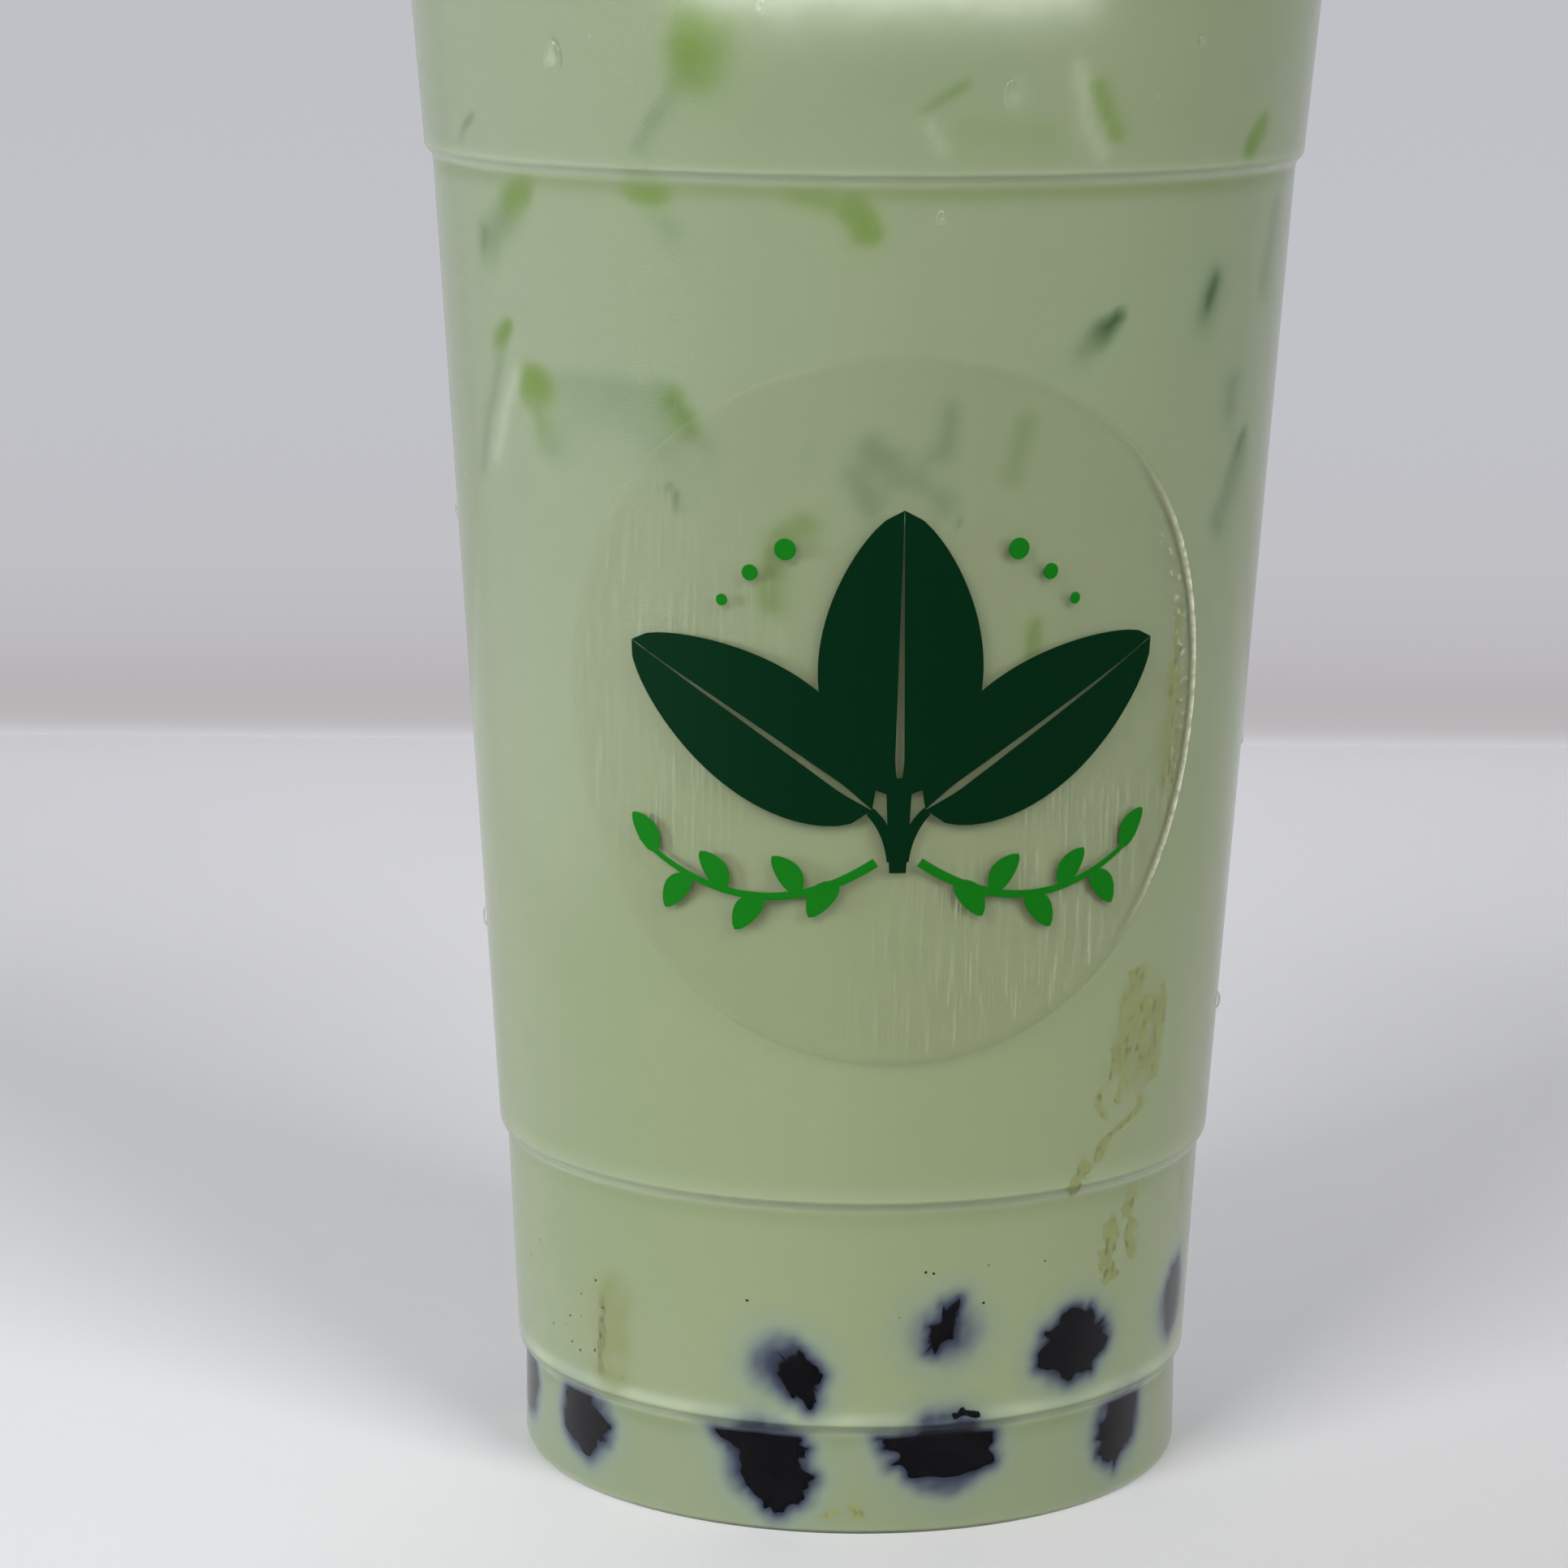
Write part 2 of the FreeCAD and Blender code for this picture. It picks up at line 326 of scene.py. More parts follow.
def lathe(profile, segments):
    """Points and faces of a profile turned about the Z axis; ends on the axis close."""
    turned = np.arange(segments) * 2 * math.pi / segments
    across, along = np.sin(turned), -np.cos(turned)
    points, rings = [], []
    for radius, height in profile:
        if radius < 1e-7:
            rings.append([len(points)] * segments)
            points.append((0.0, 0.0, height))
            continue
        first = len(points)
        rings.append(list(range(first, first + segments)))
        points.extend(zip(radius * across, radius * along, [height] * segments))
    faces = []
    for low, high in zip(rings[:-1], rings[1:]):
        for index in range(segments):
            after = (index + 1) % segments
            corners = [low[index], low[after], high[after], high[index]]
            if low[0] == low[1]:
                corners = [low[0], high[after], high[index]]
            elif high[0] == high[1]:
                corners = [low[index], low[after], high[0]]
            faces.append(corners)
    return np.array(points), faces


def grid_faces(first, rows, columns, closed):
    """Quads between rows of points; a closed grid joins its last column to its first."""
    faces = []
    for row in range(rows - 1):
        for column in range(columns if closed else columns - 1):
            after = (column + 1) % columns
            low, high = first + row * columns, first + (row + 1) * columns
            faces.append([low + column, low + after, high + after, high + column])
    return faces


def store(made, name, values):
    """One number for each point of the mesh, for its material."""
    attribute = made.data.attributes.new(name, "FLOAT", "POINT")
    attribute.data.foreach_set("value", np.asarray(values, dtype=np.float32))


def degrees_round(points):
    """Each point's angle about the axis, from the label's centre towards +X."""
    return np.degrees(np.arctan2(points[:, 0], -points[:, 1]))


def smoothstep(low, high, value):
    """0 below low, 1 above high, and an even slope between."""
    share = np.clip((value - low) / (high - low), 0, 1)
    return share * share * (3 - 2 * share)


def wander(points, scale, offset):
    """Smooth noise between about -1 and 1 at each point."""
    shift = Vector((offset, 2 * offset, 3 * offset))
    return np.array([noise.noise(Vector(point) / scale + shift) for point in points])


# ---------------------------------------------------------------- materials

class Nodes:
    """A short way to write a node tree."""

    def __init__(self, tree):
        self.tree = tree

    def add(self, kind, **inputs):
        """A node, with its settings and its inputs by name; an input may be a socket."""
        node = self.tree.nodes.new(kind)
        for key, value in inputs.items():
            name = key.replace("_", " ")
            if hasattr(node, key) and key not in node.inputs and name not in node.inputs:
                setattr(node, key, value)
                continue
            socket = node.inputs[key] if key in node.inputs else node.inputs[name]
            self.put(socket, value)
        return node

    def put(self, socket, value):
        """Links a socket or sets a value."""
        if isinstance(value, bpy.types.NodeSocket):
            self.tree.links.new(value, socket)
        elif socket.type == "RGBA" and len(value) == 3:
            socket.default_value = (*value, 1.0)
        else:
            socket.default_value = value

    def math(self, operation, first, second=0.0, third=0.0):
        """One Math node's result."""
        node = self.tree.nodes.new("ShaderNodeMath")
        node.operation = operation
        for socket, value in zip(node.inputs, (first, second, third)):
            self.put(socket, value)
        return node.outputs[0]

    def mix(self, share, first, second, blend="MIX"):
        """Two colours mixed."""
        node = self.tree.nodes.new("ShaderNodeMix")
        node.data_type = "RGBA"
        node.blend_type = blend
        self.put(node.inputs["Factor"], share)
        self.put(node.inputs["A"], first)
        self.put(node.inputs["B"], second)
        return node.outputs["Result"]

    def ramp(self, share, stops):
        """Colours or grey values over a share from 0 to 1."""
        node = self.tree.nodes.new("ShaderNodeValToRGB")
        self.put(node.inputs["Fac"], share)
        elements = node.color_ramp.elements
        while len(elements) < len(stops):
            elements.new(0.5)
        for element, (place, value) in zip(elements, stops):
            element.position = place
            tone = value if isinstance(value, (tuple, list)) else (value,) * 3
            element.color = (*tone, 1.0)
        return node.outputs["Color"]

    def read(self, name):
        """A number stored on the mesh."""
        node = self.tree.nodes.new("ShaderNodeAttribute")
        node.attribute_name = name
        return node.outputs["Fac"]

    def noise(self, scale, detail=3.0, roughness=0.5, stretch=(1, 1, 1), source="Object"):
        """Noise in the object's own coordinates, which are metres, or in another output."""
        place = self.tree.nodes.new("ShaderNodeTexCoord").outputs[source]
        mapping = self.add("ShaderNodeMapping", Vector=place, Scale=stretch)
        node = self.add("ShaderNodeTexNoise", Vector=mapping.outputs[0], Scale=scale,
                        Detail=detail, Roughness=roughness)
        return node.outputs["Fac"]

    def group(self, tree, **inputs):
        """A shared effect, with its inputs by name."""
        node = self.tree.nodes.new("ShaderNodeGroup")
        node.node_tree = tree
        for key, value in inputs.items():
            self.put(node.inputs[key.replace("_", " ")], value)
        return node


def shared_group(name, inputs, outputs):
    """An empty node group with named sockets."""
    tree = bpy.data.node_groups.new(name, "ShaderNodeTree")
    for label, kind, default in inputs:
        socket = tree.interface.new_socket(name=label, in_out="INPUT", socket_type=kind)
        socket.default_value = default
    for label, kind in outputs:
        tree.interface.new_socket(name=label, in_out="OUTPUT", socket_type=kind)
    return tree


def cloudy_tone():
    """Shared effect: a colour that drifts a little lighter and darker over the surface."""
    name = "cloudy tone"
    if name in bpy.data.node_groups:
        return bpy.data.node_groups[name]
    tree = shared_group(
        name,
        [("Colour", "NodeSocketColor", (0.5, 0.5, 0.5, 1)),
         ("Second Colour", "NodeSocketColor", (0.5, 0.5, 0.5, 1)),
         ("Scale", "NodeSocketFloat", 40.0),
         ("Fine Scale", "NodeSocketFloat", 600.0),
         ("Fine Amount", "NodeSocketFloat", 0.1)],
        [("Colour", "NodeSocketColor")])
    nodes = Nodes(tree)
    given = nodes.add("NodeGroupInput")
    place = nodes.add("ShaderNodeTexCoord").outputs["Object"]
    broad = nodes.add("ShaderNodeTexNoise", Vector=place, Scale=given.outputs["Scale"],
                      Detail=2.0, Roughness=0.5)
    fine = nodes.add("ShaderNodeTexNoise", Vector=place,
                     Scale=given.outputs["Fine Scale"], Detail=3.0, Roughness=0.6)
    share = nodes.ramp(broad.outputs["Fac"], [(0.35, 0.0), (0.65, 1.0)])
    toned = nodes.mix(share, given.outputs["Colour"], given.outputs["Second Colour"])
    fleck = nodes.math("MULTIPLY_ADD", fine.outputs["Fac"], given.outputs["Fine Amount"],
                       nodes.math("MULTIPLY_ADD", given.outputs["Fine Amount"], -0.5, 1.0))
    grey = nodes.add("ShaderNodeCombineColor", Red=fleck, Green=fleck, Blue=fleck)
    made = nodes.mix(1.0, toned, grey.outputs[0], "MULTIPLY")
    nodes.add("NodeGroupOutput", Colour=made)
    return tree


def wet_relief():
    """Shared effect: a soft height for a wet or moulded surface."""
    name = "wet relief"
    if name in bpy.data.node_groups:
        return bpy.data.node_groups[name]
    tree = shared_group(
        name,
        [("Scale", "NodeSocketFloat", 200.0), ("Fine Share", "NodeSocketFloat", 0.3)],
        [("Height", "NodeSocketFloat")])
    nodes = Nodes(tree)
    given = nodes.add("NodeGroupInput")
    place = nodes.add("ShaderNodeTexCoord").outputs["Object"]
    broad = nodes.add("ShaderNodeTexNoise", Vector=place, Scale=given.outputs["Scale"],
                      Detail=1.0)
    fine_scale = nodes.math("MULTIPLY", given.outputs["Scale"], 6.0)
    fine = nodes.add("ShaderNodeTexNoise", Vector=place, Scale=fine_scale, Detail=2.0)
    height = nodes.math("MULTIPLY_ADD", fine.outputs["Fac"], given.outputs["Fine Share"],
                        broad.outputs["Fac"])
    nodes.add("NodeGroupOutput", Height=height)
    return tree


def new_material(name):
    """An empty material and its nodes."""
    material = bpy.data.materials.new(name)
    material.use_nodes = True
    material.node_tree.nodes.clear()
    return material, Nodes(material.node_tree)


def bump(nodes, height, distance):
    """A normal from a height, whose full rise is a distance in metres."""
    return nodes.add("ShaderNodeBump", Height=height, Distance=distance).outputs["Normal"]


def clear_output(nodes, surface):
    """The shader, let through for shadow rays so that what is behind it is lit."""
    path = nodes.add("ShaderNodeLightPath")
    through = nodes.add("ShaderNodeBsdfTransparent", Color=(0.97, 0.98, 0.97))
    mixed = nodes.add("ShaderNodeMixShader")
    nodes.put(mixed.inputs[0], path.outputs["Is Shadow Ray"])
    nodes.put(mixed.inputs[1], surface.outputs[0])
    nodes.put(mixed.inputs[2], through.outputs[0])
    nodes.add("ShaderNodeOutputMaterial", Surface=mixed.outputs[0])


def plain_output(nodes, surface):
    """The shader straight to the material's output."""
    nodes.add("ShaderNodeOutputMaterial", Surface=surface.outputs[0])


def plastic_material(cup):
    """Clear moulded plastic."""
    material, nodes = new_material("clear_plastic")
    relief = nodes.group(wet_relief(), Scale=45.0, Fine_Share=0.0)
    tint = nodes.group(cloudy_tone(), Colour=tuple(cup.plastic),
                       Second_Colour=tuple(cup.plastic), Scale=30.0,
                       Fine_Scale=500.0, Fine_Amount=0.02)
    shader = nodes.add(
        "ShaderNodeBsdfPrincipled", Base_Color=tint.outputs[0], Metallic=0.0,
        Roughness=0.18, IOR=1.49, Transmission_Weight=1.0,
        Specular_Tint=(0.12, 0.12, 0.12),
        Normal=bump(nodes, relief.outputs[0], 0.00002))
    clear_output(nodes, shader)
    return material


# the drink's tones over its shade, its clear green and the drink in front of a pearl, each
# with how far it covers what is under it
SHADE_TONES = [(0.0, display(112, 125, 99)), (0.3, display(98, 110, 85)),
               (0.65, display(72, 90, 63)), (1.0, display(39, 58, 30))]
SHADE_SHARE = [(0.0, 0.0), (0.3, 0.85), (1.0, 1.0)]
GREEN_TONES = [(0.0, display(113, 123, 90)), (0.5, display(90, 107, 61)),
               (1.0, display(81, 102, 34))]
GREEN_SHARE = [(0.0, 0.0), (0.4, 0.85), (1.0, 1.0)]
INKY_TONES = [(0.0, display(26, 28, 38)), (0.07, display(54, 58, 72)),
              (0.2, display(84, 93, 95)), (0.4, display(107, 119, 105))]
INKY_SHARE = [(0.06, 1.0), (0.24, 0.78), (0.5, 0.36), (0.82, 0.0)]


def milk_material(drink, name, rough, gloss):
    """Opaque milk tea: darker and greener where ice rests on the wall, inky at pearls, with
    painted light and shade.
    """
    material, nodes = new_material(name)
    warm = nodes.group(cloudy_tone(), Colour=tuple(drink.milk),
                       Second_Colour=tuple(drink.pale_milk), Scale=22.0,
                       Fine_Scale=900.0, Fine_Amount=0.03).outputs[0]
    toned = nodes.mix(nodes.math("MULTIPLY", nodes.read("cold"), 0.9), warm,
                      tuple(drink.cold_milk))
    grey, green = nodes.read("ice_grey"), nodes.read("ice_green")
    toned = nodes.mix(nodes.ramp(grey, SHADE_SHARE), toned, nodes.ramp(grey, SHADE_TONES))
    unshaded = nodes.math("MULTIPLY_ADD", grey, -0.35, 1.0)
    share = nodes.math("MULTIPLY", nodes.ramp(green, GREEN_SHARE), unshaded)
    toned = nodes.mix(share, toned, nodes.ramp(green, GREEN_TONES))
    # painted light: paler where ice blocks catch the light, and over the whole top surface
    toned = nodes.mix(nodes.read("painted_light"), toned, display(172, 178, 160))
    # painted shade: the drink darker over the foot
    toned = nodes.mix(nodes.math("MULTIPLY", nodes.read("foot"), 0.5), toned,
                      display(106, 113, 92))
    # painted shade under the ledges and painted highlight over them
    toned = nodes.mix(nodes.read("ledge_shade"), toned, display(92, 104, 66))
    toned = nodes.mix(nodes.read("ledge_glow"), toned, display(172, 179, 158))
    stain = nodes.math("MULTIPLY", nodes.read("stain"), 0.7)
    toned = nodes.mix(stain, toned, tuple(drink.olive))
    gap = nodes.read("pearl_gap")
    toned = nodes.mix(nodes.ramp(gap, INKY_SHARE), toned, nodes.ramp(gap, INKY_TONES))
    relief = nodes.group(wet_relief(), Scale=90.0, Fine_Share=0.0)
    shader = nodes.add(
        "ShaderNodeBsdfPrincipled", Base_Color=toned, Roughness=rough, IOR=1.35,
        Specular_IOR_Level=gloss, Normal=bump(nodes, relief.outputs[0], 0.00004))
    plain_output(nodes, shader)
    return material


def pearl_material():
    """Cooked tapioca: almost black, with a brown and violet cast."""
    material, nodes = new_material("tapioca")
    tone = nodes.group(cloudy_tone(), Colour=display(4, 4, 6),
                       Second_Colour=display(9, 8, 11), Scale=350.0,
                       Fine_Scale=2200.0, Fine_Amount=0.5)
    relief = nodes.group(wet_relief(), Scale=700.0, Fine_Share=0.4)
    shader = nodes.add(
        "ShaderNodeBsdfPrincipled", Base_Color=tone.outputs[0], Roughness=0.45, IOR=1.42,
        Specular_IOR_Level=0.02, Normal=bump(nodes, relief.outputs[0], 0.0001))
    plain_output(nodes, shader)
    return material


def ice_material():
    """Melting ice, faintly clouded."""
    material, nodes = new_material("ice")
    tint = nodes.group(cloudy_tone(), Colour=display(226, 238, 222),
                       Second_Colour=display(243, 248, 240), Scale=90.0,
                       Fine_Scale=800.0, Fine_Amount=0.08)
    relief = nodes.group(wet_relief(), Scale=240.0, Fine_Share=0.25)
    shader = nodes.add(
        "ShaderNodeBsdfPrincipled", Base_Color=tint.outputs[0], Metallic=0.0,
        Roughness=0.12, IOR=1.31, Transmission_Weight=0.9,
        Normal=bump(nodes, relief.outputs[0], 0.0002))
    clear_output(nodes, shader)
    return material


def water_material():
    """Clear water drops."""
    material, nodes = new_material("water")
    relief = nodes.group(wet_relief(), Scale=500.0, Fine_Share=0.0)
    tint = nodes.group(cloudy_tone(), Colour=(0.97, 0.985, 0.975),
                       Second_Colour=(1, 1, 1), Scale=300.0, Fine_Scale=900.0,
                       Fine_Amount=0.0)
    shader = nodes.add(
        "ShaderNodeBsdfPrincipled", Base_Color=tint.outputs[0], Metallic=0.0,
        Roughness=0.05, IOR=1.12, Transmission_Weight=1.0, Coat_Weight=0.4,
        Coat_Roughness=0.08, Normal=bump(nodes, relief.outputs[0], 0.00005))
    clear_output(nodes, shader)
    return material


def residue_material(drink):
    """Dried residue: olive brown, thinner and paler in places."""
    material, nodes = new_material("residue")
    thick = nodes.mix(nodes.noise(420.0, 4.0, 0.6), tuple(drink.olive),
                      display(114, 120, 78))
    dark = nodes.read("dark")
    toned = nodes.mix(dark, thick, display(66, 68, 40))
    shader = nodes.add("ShaderNodeBsdfPrincipled", Base_Color=toned, Roughness=0.6)
    plain_output(nodes, shader)
    return material


def bubble_material(drink):
    """Small bubbles of the drink."""
    material, nodes = new_material("bubbles")
    tone = nodes.group(cloudy_tone(), Colour=tuple(drink.pale_milk),
                       Second_Colour=display(167, 178, 152), Scale=180.0,
                       Fine_Scale=900.0, Fine_Amount=0.1)
    shader = nodes.add("ShaderNodeBsdfPrincipled", Base_Color=tone.outputs[0],
                       Roughness=0.15, IOR=1.35)
    plain_output(nodes, shader)
    return material


def film_material():
    """Clear film: a faint warm haze, its cut edge, streaks, and a raised side with a painted
    highlight.
    """
    material, nodes = new_material("label_film")
    streaks = nodes.noise(26.0, 3.0, 0.6, (6.5, 0.35, 1.0), "UV")
    blotches = nodes.noise(7.0, 2.0, 0.5, (1.0, 1.0, 1.0), "UV")
    bubbles = nodes.noise(90.0, 2.0, 0.5, (1.0, 0.8, 1.0), "UV")
    streaky = nodes.math("MULTIPLY", nodes.ramp(streaks, [(0.48, 0.0), (0.72, 1.0)]),
                         nodes.read("streaks"))
    blotchy = nodes.ramp(blotches, [(0.4, 0.35), (0.6, 1.0)])
    streaky = nodes.math("MULTIPLY", streaky, blotchy)
    # a painted highlight: the raised crescent by the right edge turns cream, and the trapped
    # bubbles take the same cream at half strength
    lifted_and_highlit = nodes.math("MULTIPLY", nodes.read("lifted_and_highlit"),
                        nodes.ramp(bubbles, [(0.35, 0.55), (0.60, 1.0)]))
    trapped = nodes.math("MULTIPLY", nodes.read("trapped"),
                         nodes.ramp(bubbles, [(0.58, 0.0), (0.66, 1.0)]))
    lifted_and_highlit = nodes.math("MAXIMUM", lifted_and_highlit, nodes.math("MULTIPLY", trapped, 0.5))
    edge = nodes.read("edge")
    haze = nodes.mix(edge, display(131, 134, 98), display(108, 114, 80))
    tone = nodes.mix(streaky, haze, display(187, 190, 165))
    tone = nodes.mix(lifted_and_highlit, tone, display(203, 201, 180))
    alpha = nodes.math("MULTIPLY_ADD", edge, 0.09, 0.05)
    alpha = nodes.math("MULTIPLY_ADD", streaky, 0.20, alpha)
    alpha = nodes.math("MULTIPLY_ADD", lifted_and_highlit, 0.6, alpha)
    shader = nodes.add(
        "ShaderNodeBsdfPrincipled", Base_Color=tone, Roughness=0.3, Alpha=alpha,
        Specular_IOR_Level=0.25, Normal=bump(nodes, streaks, 0.00004))
    plain_output(nodes, shader)
    return material


def ink_material(label):
    """Printed ink in two greens, a little uneven."""
    material, nodes = new_material("label_ink")
    two_greens = nodes.mix(nodes.read("bright"), tuple(label.leaf), tuple(label.sprig))
    toned = nodes.group(cloudy_tone(), Colour=two_greens, Second_Colour=two_greens,
                        Scale=300.0, Fine_Scale=2500.0, Fine_Amount=0.25)
    shader = nodes.add("ShaderNodeBsdfPrincipled", Base_Color=toned.outputs[0],
                       Roughness=0.45, Specular_IOR_Level=0.02)
    plain_output(nodes, shader)
    return material


# ---------------------------------------------------------------- strokes on the wall

def stroke_offset(wall, line, degrees, heights):
    """Distance in millimetres from each place to a line of places, and its two parts."""
    corners = np.array(line, dtype=float)
    at_wall = wall.radius(corners[:, 1].mean() * MM) / MM
    corners[:, 0] = np.radians(corners[:, 0]) * at_wall
    spots = np.stack([np.radians(degrees) * at_wall, heights], axis=-1)
    nearest = np.full(len(spots), 1e9)
    offset = np.zeros_like(spots)
    for start, end in zip(corners[:-1], corners[1:]):
        run = end - start
        share = np.clip(((spots - start) @ run) / (run @ run), 0, 1)
        away = spots - start - share[:, None] * run
        gap = np.linalg.norm(away, axis=1)
        closer = gap < nearest
        nearest[closer] = gap[closer]
        offset[closer] = away[closer]
    return nearest, offset[:, 0], offset[:, 1]


# where ice nears the wall: a line of places, the width over which the mark fades in
# millimetres, its share of clear green, its share of shade, and the way it trails off
ICE_MARKS = [
    ([(-25.9, 141.8), (-27.2, 138.9)], 2.2, 1.0, 0.0, (0.3, -0.6)),
    ([(-23.5, 144.5), (-27.5, 137.8), (-31.0, 133.8), (-35.0, 130.0)], 0.8, 0.0, 0.3, (1, 0)),
    ([(-26.0, 134.0), (-14.0, 132.5), (-2.0, 135.0)], 6.5, 0.0, 0.13, (0, 0)),
    ([(-16.0, 139.0), (10.0, 138.0)], 5.0, 0.0, 0.08, (0, 0)),
    ([(-35.6, 126.3), (-33.4, 126.2)], 1.3, 1.5, 0.0, (0, 0)),
    ([(-33.5, 124.6), (-31.5, 123.2)], 1.5, 0.0, 0.30, (0.5, -0.8)),
    ([(-14.5, 126.8), (-9.5, 125.8)], 1.6, 0.45, 0.1, (0, 0)),
    ([(-6.4, 124.9), (-5.0, 122.9)], 1.2, 0.75, 0.1, (-0.7, 0.3)),
    ([(-56.8, 125.2), (-55.0, 125.8)], 1.15, 1.3, 0.4, (-0.6, -0.8)),
    ([(-58.5, 123.4), (-62.5, 121.0)], 1.8, 0.3, 0.62, (-0.6, -0.6)),
    ([(-64.8, 121.0), (-65.4, 119.8)], 0.8, 0.0, 0.75, (0, 0)),
    ([(-64.5, 131.6), (-66.5, 130.9), (-68.3, 129.4)], 0.5, 0.0, 0.55, (0, 0)),
    ([(1.7, 134.1), (4.1, 135.1), (6.3, 136.2)], 0.4, 0.4, 0.35, (-0.3, -0.8)),
    ([(6.2, 132.3), (17.0, 131.9)], 1.4, 0.26, 0.0, (0, -1)),
    ([(23.0, 135.6), (24.8, 133.0), (26.0, 131.4)], 0.8, 0.5, 0.0, (1, 0)),
    ([(53.6, 131.8), (52.3, 130.6), (51.0, 129.5)], 0.9, 0.9, 0.3, (0.8, 0)),
    ([(64.0, 123.5), (61.4, 116.5)], 1.5, 0.0, 0.42, (1, 0)),
    ([(29.2, 115.2), (28.0, 114.5)], 0.8, 0.05, 1.0, (-0.7, -0.7)),
    ([(27.4, 114.1), (24.5, 112.4)], 1.3, 0.0, 0.36, (-0.7, -0.7)),
    ([(47.6, 117.9), (45.8, 115.4)], 0.6, 0.0, 0.8, (0, 0)),
    ([(47.2, 117.4), (45.4, 114.6)], 2.4, 0.0, 0.5, (0, 0)),
    ([(54.4, 107.8), (54.0, 105.6)], 2.2, 0.0, 0.36, (0, 0)),
    ([(59.4, 102.9), (57.5, 101.1)], 0.6, 0.1, 0.7, (0, 0)),
    ([(57.5, 101.1), (55.7, 99.1), (52.6, 95.1)], 1.5, 0.0, 0.42, (1, -0.5)),
    ([(19.8, 111.0), (19.7, 110.4)], 0.4, 0.0, 0.35, (0, 0)),
    ([(-61.8, 111.9), (-60.4, 112.7)], 0.85, 1.3, 0.8, (-0.5, -0.5)),
    ([(-61.5, 110.5), (-64.2, 107.2), (-67.2, 103.6), (-70.3, 98.6)], 0.8, 0.0, 0.35, (-1, 0)),
    ([(-56.2, 108.4), (-54.4, 108.2)], 1.35, 1.3, 0.1, (0.4, -0.7)),
    ([(-54.6, 105.8), (-54.2, 104.4)], 1.2, 0.6, 0.1, (0.5, -0.5)),
    ([(-53.8, 102.8), (-53.0, 102.4)], 1.5, 0.0, 0.32, (0.7, 0)),
    ([(-51.5, 108.6), (-42.0, 108.5), (-33.0, 108.0)], 1.5, 0.0, 0.28, (0, -1)),
    ([(-49.0, 105.2), (-36.0, 105.2)], 2.6, 0.0, 0.15, (0, -0.8)),
    ([(-30.6, 107.6), (-29.3, 106.2), (-28.4, 105.0)], 1.0, 0.6, 0.8, (-0.7, 0)),
    ([(-27.6, 104.6), (-25.4, 103.0)], 1.2, 0.0, 0.2, (0, 0)),
    ([(-33.0, 103.0), (-28.0, 100.6)], 2.4, 0.0, 0.17, (0, 0)),
    ([(-32.6, 99.7), (-31.0, 99.1), (-30.7, 97.7)], 0.4, 0.0, 0.65, (0, 0)),
    ([(6.1, 107.2), (5.1, 103.5)], 1.5, 0.0, 0.36, (0, 0)),
    ([(16.3, 106.0), (14.7, 101.2)], 1.5, 0.22, 0.38, (0, 0)),
    ([(-4.5, 103.8), (-2.0, 102.4)], 2.0, 0.0, 0.42, (0, 0)),
    ([(-5.9, 100.8), (-4.6, 98.6)], 1.7, 0.0, 0.42, (0, 0)),
    ([(2.5, 100.5), (5.5, 98.6)], 1.8, 0.0, 0.34, (0, 0)),
    ([(7.8, 97.4), (7.6, 96.8)], 0.4, 0.0, 0.4, (0, 0)),
    ([(-12.5, 104.0), (-12.8, 102.5)], 0.8, 0.0, 0.2, (0, 0)),
    ([(-13.6, 96.6), (-16.6, 95.4), (-18.0, 92.4), (-18.2, 89.6)], 1.3, 0.45, 0.45, (0.5, 0)),
    ([(2.0, 93.4), (4.8, 94.0)], 0.6, 0.55, 0.3, (0, 0)),
    ([(18.9, 87.4), (18.6, 85.2)], 1.0, 0.6, 0.3, (0, 0)),
]
# painted light where ice blocks catch the light near the wall: a line of places, a width in
# millimetres, and a share
PAINTED_LIGHT_MARKS = [
    ([(-24.0, 145.6), (18.0, 145.6)], 3.2, 1.0),
    ([(20.6, 137.5), (22.0, 132.8), (24.6, 129.6)], 0.8, 0.18),
    ([(-58.8, 108.6), (-62.4, 104.4), (-65.4, 100.4)], 0.8, 0.20),
    ([(1.9, 132.8), (3.8, 130.2)], 0.5, 0.15),
    ([(12.6, 136.2), (13.2, 134.8)], 0.6, 0.10),
]
# shares of painted shade under each ledge and of painted highlight over it
LEDGE_TONES = [(0.70, 0.0), (0.30, 0.08), (0.45, 0.35)]  # shade and glow, from the rim down
GAP_LIMIT = 4.0             # millimetres of drink beyond which a pearl can't be seen

